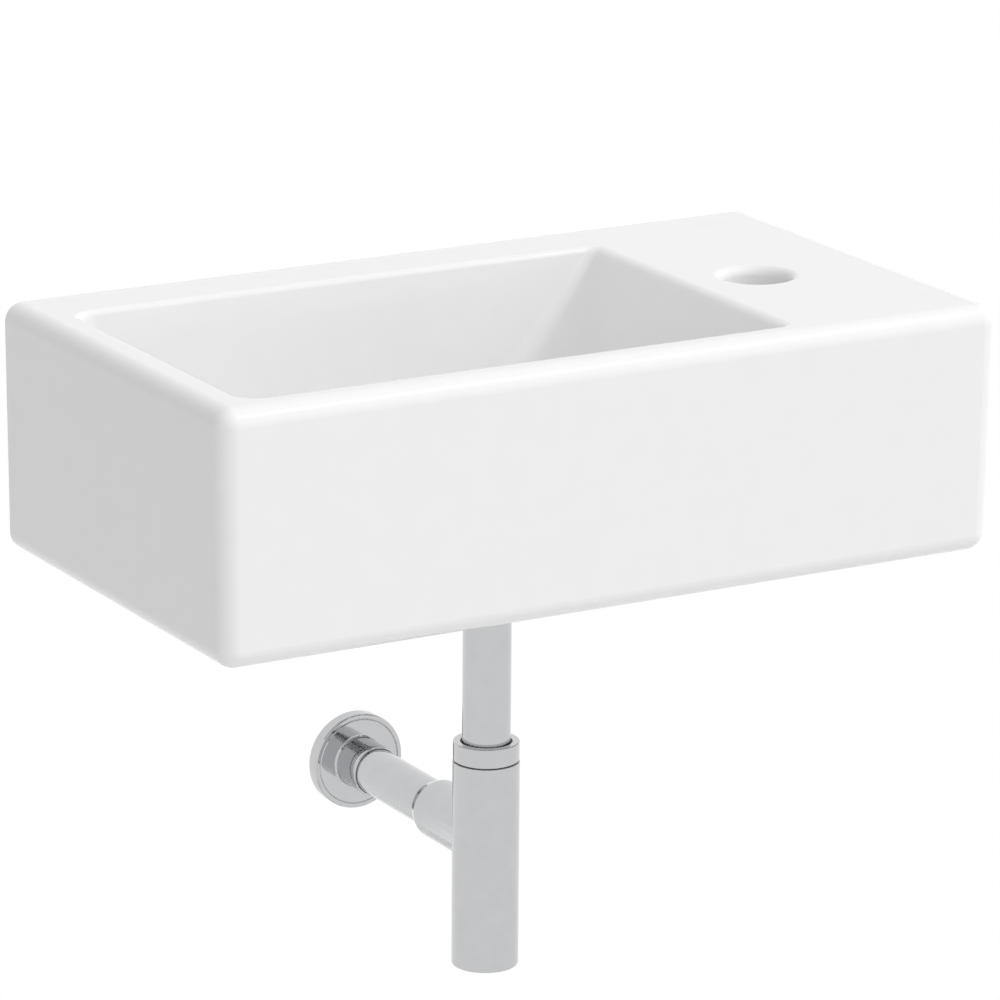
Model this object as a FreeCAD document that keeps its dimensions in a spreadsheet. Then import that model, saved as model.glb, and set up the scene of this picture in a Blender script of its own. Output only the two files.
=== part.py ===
import FreeCAD, Part
import math
import os
import re

import Sketcher
from FreeCAD import Placement, Rotation, Vector

# A small rectangular wall hung basin of glazed ceramic, with its waste, push-push plug,
# bottle trap and wall fixings. Millimetres, +Z up, +X to the right, the front faces -Y.
# The origin lies on the wall, midway between the two wall fixings.

doc = FreeCAD.newDocument("wall_hung_basin")
sizes = doc.addObject("Spreadsheet::Sheet", "sizes")

SIZES = [
    # Ceramic body, outside
    ("basin_width", 450, "left to right over the rim"),
    ("basin_depth", 245, "wall to front over the rim"),
    ("basin_height", 132, "underside to rim"),
    ("edge_round", 10, "radius of the outer edges, but for those at the back"),
    ("back_edge_round", 3, "radius of the edges round the flat back"),
    ("skirt_lean", 1.2, "how far the sides and front draw in at the bottom"),
    # Ceramic body, bowl
    ("rim_left", 21.5, "rim width left of the bowl"),
    ("rim_front", 17, "rim width in front of the bowl"),
    ("rim_back", 36, "rim width behind the bowl"),
    ("tap_ledge", 118, "width of the ledge right of the bowl"),
    ("bowl_depth", 98, "rim to bowl floor"),
    ("left_wall_lean", 8, "degrees from upright"),
    ("front_wall_lean", 6, "degrees from upright"),
    ("back_wall_lean", 10, "degrees from upright"),
    ("slope_wall_lean", 42, "degrees from upright, below the ledge"),
    ("left_corner_round", 14, "radius of the two left bowl corners"),
    ("slope_corner_round", 10, "radius of the two bowl corners at the slope"),
    ("floor_round", 9, "radius between bowl walls and floor"),
    ("rim_round", 4, "radius of the bowl's upper edge"),
    # Ceramic body, thicknesses
    ("skirt_wall", 14, "thickness of the sides"),
    ("skirt_front", 18, "thickness of the front, which the bowl's front wall joins"),
    ("back_wall", 12, "thickness of the wall that meets the room's wall"),
    ("bowl_wall", 12, "thickness of the bowl"),
    ("deck_thickness", 15, "thickness of the rim and ledge"),
    ("hollow_corner_round", 8, "radius of the upright corners under the basin"),
    # Holes in the ceramic
    ("tap_hole_radius", 17.5, "bore for the tap's shank"),
    ("tap_hole_lip", 5.5, "radius of the hole's glazed upper edge"),
    ("tap_hole_from_side", 76, "hole centre to the right side"),
    ("tap_hole_from_wall", 130, "hole centre to the wall"),
    ("drain_left_of_middle", 21, "waste centre to the middle of the basin"),
    ("drain_from_wall", 146, "waste centre to the wall"),
    ("waste_hole_radius", 22.5, "hole through the bowl floor"),
    ("waste_recess_radius", 32, "shallow seat round the waste hole"),
    ("waste_recess_depth", 3, "depth of that seat"),
    ("fixing_spacing", 260, "between the two wall fixings"),
    ("fixing_height", 88, "fixings above the underside"),
    ("fixing_hole_radius", 7, "holes in the back wall"),
    # Clearances
    ("thread_gap", 0.15, "radial gap between screwed pieces"),
    ("slide_gap", 0.1, "radial gap between sliding pieces"),
    ("face_gap", 0.1, "gap between faces that turn or part"),
    # Waste
    ("flange_radius", 30, "visible waste flange"),
    ("flange_thickness", 2.5, "at its inner edge"),
    ("flange_edge", 1.2, "thickness at its outer edge"),
    ("flange_bevel", 4, "width of the sloping outer band"),
    ("tail_radius", 20.95, "one and a quarter inch pipe thread"),
    ("tail_below_bowl", 30, "thread that stands out below the bowl"),
    ("waste_bore", 16.5, "inside radius of the waste"),
    ("seat_radius", 19.3, "dish in which the plug lies"),
    ("seat_depth", 3, "depth of that dish"),
    ("hub_height", 14, "underside of the cross above the tail's end"),
    ("hub_thickness", 6, "thickness of the cross"),
    ("hub_radius", 7.5, "middle of the cross"),
    ("arm_width", 3, "each arm of the cross"),
    ("top_seal_thickness", 2, "soft ring under the flange"),
    ("top_seal_outer", 29, "its outer radius"),
    ("lower_seal_thickness", 4, "rubber ring under the bowl"),
    ("lower_seal_outer", 31, "its outer radius"),
    ("slip_washer_thickness", 1.5, "washer under that ring"),
    ("slip_washer_outer", 30, "its outer radius"),
    ("backnut_flats", 52, "across flats"),
    ("backnut_thickness", 8, "thickness"),
    ("backnut_chamfer", 1.5, "bevel of its corners"),
    # Plug
    ("cap_radius", 18.6, "domed plug cap"),
    ("cap_thickness", 3, "thickness"),
    ("cap_round", 1.4, "radius of its upper edge"),
    ("cap_seat_gap", 0.3, "closed plug seal above its seat"),
    ("plug_seal_outer", 18.9, "rubber ring under the cap"),
    ("plug_seal_inner", 14, "its inner radius"),
    ("plug_seal_thickness", 1.2, "its thickness"),
    ("stem_radius", 3.6, "plug stem"),
    ("stem_head_radius", 13, "disc that joins the stem to the cap"),
    ("barrel_wall", 1.25, "wall of the latch barrel"),
    ("barrel_length", 17, "barrel below its collar"),
    ("barrel_floor", 2, "closed lower end of the barrel"),
    ("barrel_collar_radius", 7, "collar that rests on the cross"),
    ("barrel_collar_thickness", 6, "its height"),
    ("spring_length", 7, "coil spring with the plug closed"),
    ("spring_wire", 0.35, "wire radius"),
    ("spring_radius", 3, "middle of the coils"),
    ("spring_turns", 6, "number of coils"),
    # Union between waste and tube
    ("union_radius", 24.5, "outside of the union nut"),
    ("union_engagement", 9, "thread of the tail inside the nut"),
    ("union_floor", 3.5, "inward lip of the nut"),
    ("union_chamfer", 1, "bevel of its outer edges"),
    ("union_washer_thickness", 2.5, "rubber ring above the tube's collar"),
    ("union_slip_thickness", 1.2, "plastic ring below the collar"),
    # Tubes
    ("tube_radius", 12.7, "inlet tube and outlet pipe, one inch"),
    ("tube_wall", 1, "their wall"),
    ("tube_collar_radius", 20.2, "flared collar at the tube's top"),
    ("tube_collar_thickness", 2, "its thickness"),
    ("tube_below_branch", 34, "tube end below the outlet's axis"),
    # Trap
    ("trap_drop", 93.5, "basin underside to the top nut"),
    ("top_nut_radius", 17.4, "outside of the top nut"),
    ("top_nut_height", 10.5, "its height"),
    ("top_nut_plate", 2.5, "inward lip of the nut"),
    ("top_nut_hole_gap", 0.8, "lip to tube"),
    ("top_nut_round", 0.6, "radius of its outer edges"),
    ("seam_gap", 0.4, "groove between nut and body"),
    ("trap_radius", 17.6, "outside of the trap body"),
    ("trap_wall", 2, "its wall"),
    ("trap_length", 111.6, "shoulder to bottom"),
    ("trap_round", 0.8, "radius of the bottom edge"),
    ("neck_radius", 15.2, "threaded neck inside the nut"),
    ("neck_height", 5.9, "its height above the shoulder"),
    ("neck_gap", 0.4, "neck bore to tube"),
    ("neck_seat", 1.5, "cone seat of the seal"),
    ("neck_throat", 3, "thick top of the body under the shoulder"),
    ("slip_ring_thickness", 1.2, "plastic ring under the nut's lip"),
    ("slip_ring_outer", 15.1, "its outer radius"),
    ("cone_seal_outer", 14.5, "rubber cone ring"),
    ("cone_seal_thickness", 2.5, "its height"),
    ("branch_drop", 41.6, "shoulder to the outlet's axis"),
    ("branch_radius", 16.1, "side branch, outside"),
    ("branch_straight", 48.5, "trap axis to the start of its taper"),
    ("branch_reach", 55, "trap axis to the mouth"),
    ("branch_mouth", 13.8, "outer radius at the mouth"),
    ("branch_shoulder_round", 6, "radius where the taper starts"),
    ("waterway_radius", 11, "narrow bore behind the pipe socket"),
    ("socket_start", 20, "trap axis to the bottom of the socket"),
    ("ring_groove_radius", 14.7, "grooves of the sealing rings"),
    ("ring_groove_width", 2.2, "their width"),
    ("ring_groove_first", 41, "trap axis to the inner groove"),
    ("ring_groove_pitch", 5.5, "between the two grooves"),
    ("ring_wire", 0.85, "sealing ring section radius"),
    ("clean_bore", 14.6, "thread of the cleaning plug"),
    ("clean_bore_depth", 10, "its length"),
    ("clean_thickness", 8, "cleaning plug"),
    ("clean_recess", 0.5, "plug inside the bottom edge"),
    ("clean_groove_depth", 1.3, "groove of its ring"),
    ("clean_groove_width", 1.8, "its width"),
    ("clean_groove_from_top", 1.4, "its distance from the upper face"),
    ("clean_wire", 0.55, "section radius of its ring"),
    ("coin_slot_length", 20, "slot in the plug's lower face"),
    ("coin_slot_width", 3, "its width"),
    ("coin_slot_depth", 2.5, "its depth"),
    # Outlet
    ("pipe_in_socket", 22, "pipe inside the branch"),
    ("pipe_in_wall", 20, "pipe behind the wall's face"),
    ("wall_flange_radius", 26.5, "cover plate at the wall"),
    ("wall_flange_thickness", 7.5, "its rim"),
    ("wall_flange_rim", 3, "width of the rim at the wall"),
    ("wall_flange_plate", 2, "front plate"),
    ("wall_flange_round", 1.2, "radius of the front edge"),
    ("sleeve_radius", 13.9, "collar round the pipe, outside"),
    ("sleeve_reach", 28, "wall to the collar's end"),
    ("sleeve_root_round", 1.4, "radius between collar and plate"),
    ("sleeve_gap", 0.1, "collar bore to pipe"),
    ("grip_ring_outer", 17, "rubber ring behind the plate"),
    ("grip_ring_thickness", 4, "its thickness"),
    # Wall fixings
    ("bolt_radius", 3.9, "M8 thread at the front of the studs"),
    ("bolt_wall_radius", 3.65, "their coarse thread in the wall"),
    ("bolt_neck_radius", 3.3, "plain neck between the two threads"),
    ("bolt_neck_length", 4, "its length"),
    ("bolt_neck_depth", 2, "how far behind the wall's face it starts"),
    ("bolt_in_wall", 48, "stud behind the wall's face"),
    ("bolt_end", 27, "stud in front of the wall's face"),
    ("bolt_point", 8, "pointed end"),
    ("bolt_bevel", 1, "bevel of the other end"),
    ("bush_sleeve_gap", 0.2, "sleeve to ceramic hole"),
    ("bush_bore_gap", 0.3, "sleeve bore to stud"),
    ("bush_flange_radius", 13, "flange of the bush"),
    ("bush_flange_thickness", 3, "its thickness"),
    ("bush_setback", 0.5, "sleeve end short of the wall"),
    ("washer_radius", 12, "steel washer"),
    ("washer_thickness", 1.6, "its thickness"),
    ("nut_flats", 13, "across flats"),
    ("nut_thickness", 6.5, "its height"),
    ("nut_chamfer", 0.6, "bevel of its corners"),
]

ALIASES = {alias for alias, _value, _note in SIZES}

for row, (alias, value, note) in enumerate(SIZES, start=1):
    sizes.set(f"A{row}", note)
    sizes.set(f"B{row}", str(value))
    sizes.setAlias(f"B{row}", alias)
doc.recompute()


def of_sheet(expression):
    """The expression with the sheet's name before every size."""
    return re.sub(r"[a-z_]+", with_sheet, expression)


def with_sheet(found):
    """A size's name led by the sheet's. Any other word stays as it is."""
    word = found.group()
    return f"sizes.{word}" if word in ALIASES else word


def value_of(expression):
    """The expression's present value in millimetres or degrees."""
    return float(sizes.evalExpression(of_sheet(expression)))


def bind(item, prop, expression):
    """Tie a property to the sheet."""
    item.setExpression(prop, of_sheet(expression))


# Heights that several pieces share, worked out from the sheet. Z is 0 at the wall fixings.
UNDERSIDE = "( 0 - fixing_height )"
RIM = "( basin_height - fixing_height )"
BOWL_FLOOR = f"( {RIM} - bowl_depth )"
BOWL_UNDER = f"( {BOWL_FLOOR} - bowl_wall )"
RECESS_FLOOR = f"( {BOWL_FLOOR} - waste_recess_depth )"
FLANGE_UNDER = f"( {RECESS_FLOOR} + top_seal_thickness )"
SEAT = f"( {FLANGE_UNDER} + flange_thickness - seat_depth )"
TAIL_END = f"( {BOWL_UNDER} - tail_below_bowl )"
HUB_TOP = f"( {TAIL_END} + hub_height + hub_thickness )"
CAP_UNDER = f"( {SEAT} + cap_seat_gap + plug_seal_thickness )"
SLIP_WASHER_UNDER = f"( {BOWL_UNDER} - lower_seal_thickness - slip_washer_thickness )"
COLLAR_TOP = f"( {TAIL_END} - union_washer_thickness )"
COLLAR_UNDER = f"( {COLLAR_TOP} - tube_collar_thickness )"
UNION_SLIP_UNDER = f"( {COLLAR_UNDER} - face_gap - union_slip_thickness )"
UNION_UNDER = f"( {UNION_SLIP_UNDER} - face_gap - union_floor )"
TOP_NUT_UNDER = f"( {UNDERSIDE} - trap_drop - top_nut_height )"
SHOULDER = f"( {TOP_NUT_UNDER} - seam_gap )"
BRANCH_AXIS = f"( {SHOULDER} - branch_drop )"
TRAP_BOTTOM = f"( {SHOULDER} - trap_length )"

# Plan positions: the waste, tube and trap share one upright axis.
DRAIN_X = "( 0 - drain_left_of_middle )"
DRAIN_Y = "( 0 - drain_from_wall )"

UPRIGHT = Rotation()
TO_FRONT = Rotation(Vector(1, 0, 0), 90)
TO_WALL = Rotation(Vector(1, 0, 0), -90)


def place(item, x, y, z, rotation=UPRIGHT):
    """Turn the item, then tie its position to the sheet."""
    item.Placement = Placement(Vector(), rotation)
    for axis, expression in zip("xyz", (x, y, z)):
        bind(item, f"Placement.Base.{axis}", expression)


def origin_plane(body, role):
    """One of the body's own three planes."""
    return next(item for item in body.Origin.OriginFeatures if item.Role == role)


def outline_sketch(body, role, corners, height=None):
    """A closed outline of straight lines, each corner tied to the sheet."""
    sketch = body.newObject("Sketcher::SketchObject", f"{body.Label}_outline")
    sketch.AttachmentSupport = [(origin_plane(body, role), "")]
    sketch.MapMode = "FlatFace"
    if height is not None:
        bind(sketch, "AttachmentOffset.Base.z", height)
    points = [Vector(value_of(x), value_of(y), 0) for x, y in corners]
    count = len(points)
    for index in range(count):
        line = Part.LineSegment(points[index], points[(index + 1) % count])
        sketch.addGeometry(line)
    for index in range(count):
        following = (index + 1) % count
        sketch.addConstraint(Sketcher.Constraint("Coincident", index, 2, following, 1))
    for index, corner in enumerate(corners):
        for kind, axis, expression in zip(("DistanceX", "DistanceY"), (-2, -1), corner):
            tie_corner(sketch, index, kind, axis, expression)
    return sketch


def tie_corner(sketch, index, kind, axis, expression):
    """Hold one corner on an axis, or at a distance that the sheet gives."""
    if expression == "0":
        sketch.addConstraint(Sketcher.Constraint("PointOnObject", index, 1, axis))
        return
    distance = Sketcher.Constraint(kind, -1, 1, index, 1, value_of(expression))
    number = sketch.addConstraint(distance)
    bind(sketch, f"Constraints[{number}]", expression)


def new_body(label):
    """An empty body with its own label."""
    body = doc.addObject("PartDesign::Body", label)
    body.Label = label
    return body


def turned(label, outline):
    """A body turned about its own Z axis. The outline's corners are (radius, height)."""
    body = new_body(label)
    sketch = outline_sketch(body, "XZ_Plane", outline)
    turn = body.newObject("PartDesign::Revolution", f"{label}_turned")
    turn.Profile = sketch
    turn.ReferenceAxis = (sketch, ["V_Axis"])
    turn.Angle = 360
    doc.recompute()
    return body


def ring(label, inner, outer, thickness):
    """A flat ring, its lower face on the body's own origin."""
    return turned(label, [(inner, "0"), (outer, "0"), (outer, thickness), (inner, thickness)])


def round_circles(body, radius, circles):
    """Round the circular edges that lie at the given (radius, height)."""
    wanted = [(value_of(r), value_of(z)) for r, z in circles]

    def on_circle(edge):
        found = circle_of(edge)
        return found and any(math.dist(found, spot) < 0.001 for spot in wanted)

    round_edges(body, radius, edge_names(body.Shape, on_circle))


def circle_of(edge):
    """Radius and height of a circular edge, or nothing for any other curve."""
    try:
        curve = edge.Curve
    except TypeError:
        return None
    return (curve.Radius, curve.Center.z) if isinstance(curve, Part.Circle) else None


def edge_names(shape, wanted):
    """Names of the edges for which wanted(edge) holds."""
    return [f"Edge{n}" for n, edge in enumerate(shape.Edges, start=1) if wanted(edge)]


def round_edges(body, radius, names):
    """Round the named edges of the body's last feature."""
    base = body.Tip or body.BaseFeature
    fillet = body.newObject("PartDesign::Fillet", f"{body.Label}_round")
    fillet.Base = (base, names)
    bind(fillet, "Radius", radius)
    doc.recompute()


def boolean(kind, label, base, tool):
    """Cut, fuse or intersect two shapes."""
    result = doc.addObject(f"Part::{kind}", label)
    result.Label = label
    result.Base = base
    result.Tool = tool
    doc.recompute()
    return result


# ---- Ceramic body -------------------------------------------------------------------------
# The casting is drawn from the front left corner of its underside: x to the right, y to the
# wall, z up.

BASIN_DRAIN_X = "( basin_width / 2 - drain_left_of_middle )"
BASIN_DRAIN_Y = "( basin_depth - drain_from_wall )"


def bowl_rectangle(depth, offset):
    """Left, right, front and back of the bowl at a depth, grown outwards by an offset."""
    left = f"rim_left + {depth} * tan( left_wall_lean ) - {offset} / cos( left_wall_lean )"
    front = f"rim_front + {depth} * tan( front_wall_lean ) - {offset} / cos( front_wall_lean )"
    right = (f"basin_width - tap_ledge - {depth} * tan( slope_wall_lean )"
             f" + {offset} / cos( slope_wall_lean )")
    back = (f"basin_depth - rim_back - {depth} * tan( back_wall_lean )"
            f" + {offset} / cos( back_wall_lean )")
    return left, right, front, back


TIPPED_UP = Rotation(Vector(1, 1, 1), 120)


def tapered_block(label, lower, lower_height, upper, upper_height):
    """A block between two level rectangles, each given as left, right, front, back.

    The wedge is defined lying down: its z runs left to right, its x front to back, its y up.
    """
    body = new_body(label)
    wedge = body.newObject("PartDesign::AdditiveWedge", f"{label}_wedge")
    for prop, expression in zip(("Zmin", "Zmax", "Xmin", "Xmax"), lower):
        bind(wedge, prop, expression)
    for prop, expression in zip(("Z2min", "Z2max", "X2min", "X2max"), upper):
        bind(wedge, prop, expression)
    bind(wedge, "Ymin", lower_height)
    bind(wedge, "Ymax", upper_height)
    wedge.Placement = Placement(Vector(), TIPPED_UP)
    doc.recompute()
    return body


def rises(edge):
    """Whether the edge climbs rather than lies level."""
    return edge.BoundBox.ZLength > 1


def casting_outside():
    """Outer block with rounded edges, tighter ones round the flat back."""
    lower = ("skirt_lean", "basin_width - skirt_lean", "skirt_lean", "basin_depth")
    upper = ("0", "basin_width", "0", "basin_depth")
    body = tapered_block("casting_outside", lower, "0", upper, "basin_height")
    back = value_of("basin_depth") - 0.01
    names = edge_names(body.Tip.Shape, lambda edge: edge.BoundBox.YMin < back)
    round_edges(body, "edge_round", names)
    names = edge_names(body.Tip.Shape, lambda edge: edge.BoundBox.YMin > back)
    round_edges(body, "back_edge_round", names)
    return body


def bowl_hollow():
    """The space inside the bowl. It stands a little over the rim, so that the cut is clean."""
    floor = bowl_rectangle("bowl_depth", "0")
    above = bowl_rectangle("( 0 - rim_round )", "0")
    body = tapered_block("bowl_hollow", floor, "basin_height - bowl_depth",
                         above, "basin_height + rim_round")
    middle = value_of("basin_width / 2")
    left = edge_names(body.Tip.Shape, lambda e: rises(e) and e.BoundBox.XMax < middle)
    round_edges(body, "left_corner_round", left)
    right = edge_names(body.Tip.Shape, lambda e: rises(e) and e.BoundBox.XMax > middle)
    round_edges(body, "slope_corner_round", right)
    floor_height = value_of("basin_height - bowl_depth")
    bottom = edge_names(body.Tip.Shape, lambda e: abs(e.BoundBox.ZMax - floor_height) < 0.01)
    round_edges(body, "floor_round", bottom)
    return body


def underside_hollow():
    """The open space under the ledge and round the bowl."""
    plan = ("skirt_wall", "basin_width - skirt_wall", "skirt_front", "basin_depth - back_wall")
    block = tapered_block("hollow_block", plan, "0", plan, "basin_height - deck_thickness")
    round_edges(block, "hollow_corner_round", edge_names(block.Tip.Shape, rises))
    lower = bowl_rectangle("( bowl_depth + bowl_wall )", "bowl_wall")
    upper = bowl_rectangle("0", "bowl_wall")
    bowl = tapered_block("bowl_outside", lower, "basin_height - bowl_depth - bowl_wall",
                         upper, "basin_height")
    under = value_of("basin_height - bowl_depth - bowl_wall")
    bottom = edge_names(bowl.Tip.Shape, lambda e: e.BoundBox.ZMax < under + 0.01)
    round_edges(bowl, "floor_round", bottom)
    return boolean("Cut", "underside_hollow", block, bowl)


def upright_cutter(label, radius, x, y, low, high):
    """A plain round cutter for a hole from above."""
    cutter = doc.addObject("Part::Cylinder", label)
    cutter.Label = label
    bind(cutter, "Radius", radius)
    bind(cutter, "Height", f"{high} - {low}")
    place(cutter, x, y, low)
    return cutter


def fixing_cutter(label, side):
    """A round cutter through the back wall for one fixing."""
    cutter = doc.addObject("Part::Cylinder", label)
    cutter.Label = label
    bind(cutter, "Radius", "fixing_hole_radius")
    bind(cutter, "Height", "2 * back_wall")
    x = f"basin_width / 2 + {side} * fixing_spacing / 2"
    place(cutter, x, "basin_depth - 1.5 * back_wall", "fixing_height", TO_WALL)
    return cutter


def basin_body():
    """The ceramic casting with all its holes, then its soft glazed edges."""
    solid = boolean("Cut", "casting_shell", casting_outside(), underside_hollow())
    solid = boolean("Cut", "casting_with_bowl", solid, bowl_hollow())
    floor = "( basin_height - bowl_depth )"
    cutters = [
        upright_cutter("waste_hole_cutter", "waste_hole_radius", BASIN_DRAIN_X, BASIN_DRAIN_Y,
                       "0", floor),
        upright_cutter("waste_recess_cutter", "waste_recess_radius", BASIN_DRAIN_X,
                       BASIN_DRAIN_Y, f"( {floor} - waste_recess_depth )",
                       f"( {floor} + rim_round )"),
        upright_cutter("tap_hole_cutter", "tap_hole_radius", "basin_width - tap_hole_from_side",
                       "basin_depth - tap_hole_from_wall",
                       "( basin_height - 2 * deck_thickness )", "( basin_height + rim_round )"),
        fixing_cutter("left_fixing_cutter", "-1"),
        fixing_cutter("right_fixing_cutter", "1"),
    ]
    for number, cutter in enumerate(cutters, start=1):
        solid = boolean("Cut", f"casting_drilled_{number}", solid, cutter)
    body = new_body("basin_body")
    body.BaseFeature = solid
    doc.recompute()
    round_edges(body, "rim_round", bowl_rim_edges(body.Tip.Shape))
    round_circles(body, "tap_hole_lip", [("tap_hole_radius", "basin_height")])
    place(body, "0 - basin_width / 2", "0 - basin_depth", UNDERSIDE)
    return body


def bowl_rim_edges(shape):
    """Edges of the bowl's mouth in the rim's plane."""
    height = value_of("basin_height")
    right = value_of("basin_width - tap_ledge") + 1
    inside = value_of("rim_left") / 2

    def on_mouth(edge):
        box = edge.BoundBox
        level = abs(box.ZMin - height) < 0.01 and abs(box.ZMax - height) < 0.01
        near = box.XMin > inside and box.XMax < right and box.YMin > inside
        return level and near and box.YMax < value_of("basin_depth - rim_back / 2")

    return edge_names(shape, on_mouth)


# ---- Waste --------------------------------------------------------------------------------

def waste_body():
    """Flanged brass waste: threaded tail, dished seat, and a cross with a bored hub."""
    top = f"( {FLANGE_UNDER} - {TAIL_END} )"
    crown = f"( {top} + flange_thickness )"
    tube = turned("waste_tube", [
        ("waste_bore", "0"),
        ("tail_radius", "0"),
        ("tail_radius", top),
        ("flange_radius", top),
        ("flange_radius", f"{top} + flange_edge"),
        ("flange_radius - flange_bevel", crown),
        ("seat_radius", crown),
        ("seat_radius", f"{crown} - seat_depth"),
        ("waste_bore", f"{crown} - seat_depth"),
    ])
    hub = doc.addObject("Part::Cylinder", "waste_hub")
    bind(hub, "Radius", "hub_radius")
    bind(hub, "Height", "hub_thickness")
    place(hub, "0", "0", "hub_height")
    solid = boolean("Fuse", "waste_tube_and_hub", tube, hub)
    span = "( waste_bore + tail_radius )"
    for number, (length, width) in enumerate([(span, "arm_width"), ("arm_width", span)], start=1):
        arm = doc.addObject("Part::Box", f"waste_arm_{number}")
        bind(arm, "Length", length)
        bind(arm, "Width", width)
        bind(arm, "Height", "hub_thickness")
        place(arm, f"0 - {length} / 2", f"0 - {width} / 2", "hub_height")
        solid = boolean("Fuse", f"waste_with_arm_{number}", solid, arm)
    bore = doc.addObject("Part::Cylinder", "waste_hub_bore")
    bind(bore, "Radius", "stem_radius + slide_gap + barrel_wall + thread_gap")
    bind(bore, "Height", "3 * hub_thickness")
    place(bore, "0", "0", "hub_height - hub_thickness")
    body = boolean("Cut", "waste_body", solid, bore)
    place(body, DRAIN_X, DRAIN_Y, TAIL_END)
    return body


def waste_top_seal():
    """Soft ring between flange and ceramic."""
    body = ring("waste_top_seal", "tail_radius + thread_gap", "top_seal_outer",
                "top_seal_thickness")
    place(body, DRAIN_X, DRAIN_Y, RECESS_FLOOR)
    return body


def waste_lower_seal():
    """Rubber ring pressed against the bowl from below."""
    body = ring("waste_lower_seal", "tail_radius + thread_gap", "lower_seal_outer",
                "lower_seal_thickness")
    place(body, DRAIN_X, DRAIN_Y, f"{BOWL_UNDER} - lower_seal_thickness")
    return body


def waste_slip_washer():
    """Plastic washer that lets the nut turn under the rubber."""
    body = ring("waste_slip_washer", "tail_radius + thread_gap", "slip_washer_outer",
                "slip_washer_thickness")
    place(body, DRAIN_X, DRAIN_Y, SLIP_WASHER_UNDER)
    return body


def hexagon_nut(label, flats, thickness, bore, chamfer):
    """A hexagon nut: a bevelled turned blank inside a hexagonal bar."""
    corner = f"( {flats} / 2 / cos( 30 ) )"
    blank = turned(f"{label}_blank", [
        (bore, "0"),
        (f"{corner} - {chamfer}", "0"),
        (corner, f"{chamfer} / 2"),
        (corner, f"{thickness} - {chamfer} / 2"),
        (f"{corner} - {chamfer}", thickness),
        (bore, thickness),
    ])
    bar = doc.addObject("Part::Prism", f"{label}_bar")
    bar.Polygon = 6
    bind(bar, "Circumradius", corner)
    bind(bar, "Height", thickness)
    return boolean("Common", label, blank, bar)


def waste_backnut():
    """Hexagonal nut that clamps the waste in the bowl floor."""
    body = hexagon_nut("waste_backnut", "backnut_flats", "backnut_thickness",
                       "tail_radius + thread_gap", "backnut_chamfer")
    place(body, DRAIN_X, DRAIN_Y, f"{SLIP_WASHER_UNDER} - backnut_thickness")
    return body


# ---- Push-push plug -----------------------------------------------------------------------

BARREL_END = f"( {HUB_TOP} - barrel_length )"
SPRING_FOOT = f"( {BARREL_END} + barrel_floor )"
STEM_END = f"( {SPRING_FOOT} + spring_length + face_gap )"


def plug_cap():
    """Round cap that lies in the waste's dish when closed."""
    body = turned("plug_cap", [
        ("0", "0"),
        ("cap_radius", "0"),
        ("cap_radius", "cap_thickness"),
        ("0", "cap_thickness"),
    ])
    round_circles(body, "cap_round", [("cap_radius", "cap_thickness")])
    place(body, DRAIN_X, DRAIN_Y, CAP_UNDER)
    return body


def plug_seal():
    """Rubber ring under the cap."""
    body = ring("plug_seal", "plug_seal_inner", "plug_seal_outer", "plug_seal_thickness")
    place(body, DRAIN_X, DRAIN_Y, f"{CAP_UNDER} - plug_seal_thickness")
    return body


def plug_stem():
    """Stem with a thin head that screws the seal to the cap."""
    shank = f"( {CAP_UNDER} - plug_seal_thickness - {STEM_END} )"
    body = turned("plug_stem", [
        ("0", "0"),
        ("stem_radius", "0"),
        ("stem_radius", shank),
        ("stem_head_radius", shank),
        ("stem_head_radius", f"{shank} + plug_seal_thickness"),
        ("0", f"{shank} + plug_seal_thickness"),
    ])
    place(body, DRAIN_X, DRAIN_Y, STEM_END)
    return body


def plug_cartridge():
    """Latch barrel that hangs in the hub by its collar."""
    bore = "( stem_radius + slide_gap )"
    outside = f"( {bore} + barrel_wall )"
    top = "( barrel_length + barrel_collar_thickness )"
    body = turned("plug_cartridge", [
        ("0", "0"),
        (outside, "0"),
        (outside, "barrel_length"),
        ("barrel_collar_radius", "barrel_length"),
        ("barrel_collar_radius", top),
        (bore, top),
        (bore, "barrel_floor"),
        ("0", "barrel_floor"),
    ])
    place(body, DRAIN_X, DRAIN_Y, BARREL_END)
    return body


def plug_spring():
    """Coil spring under the stem, one round wire swept along a helix."""
    body = new_body("plug_spring")
    sketch = body.newObject("Sketcher::SketchObject", "plug_spring_wire")
    sketch.AttachmentSupport = [(origin_plane(body, "XZ_Plane"), "")]
    sketch.MapMode = "FlatFace"
    centre = Vector(value_of("spring_radius"), value_of("spring_wire"), 0)
    sketch.addGeometry(Part.Circle(centre, Vector(0, 0, 1), value_of("spring_wire")))
    radius = sketch.addConstraint(Sketcher.Constraint("Radius", 0, value_of("spring_wire")))
    bind(sketch, f"Constraints[{radius}]", "spring_wire")
    for kind, expression in (("DistanceX", "spring_radius"), ("DistanceY", "spring_wire")):
        centred = Sketcher.Constraint(kind, -1, 1, 0, 3, value_of(expression))
        bind(sketch, f"Constraints[{sketch.addConstraint(centred)}]", expression)
    doc.recompute()
    coil = body.newObject("PartDesign::AdditiveHelix", "plug_spring_coil")
    coil.Profile = sketch
    coil.ReferenceAxis = (sketch, ["V_Axis"])
    coil.Mode = "height-turns-angle"
    bind(coil, "Height", "spring_length - 2 * spring_wire")
    bind(coil, "Turns", "spring_turns")
    doc.recompute()
    place(body, DRAIN_X, DRAIN_Y, SPRING_FOOT)
    return body


# ---- Union and inlet tube -----------------------------------------------------------------

def union_washer():
    """Rubber ring between the tail and the tube's collar."""
    body = ring("union_washer", "tube_radius - tube_wall", "tube_collar_radius",
                "union_washer_thickness")
    place(body, DRAIN_X, DRAIN_Y, COLLAR_TOP)
    return body


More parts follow.
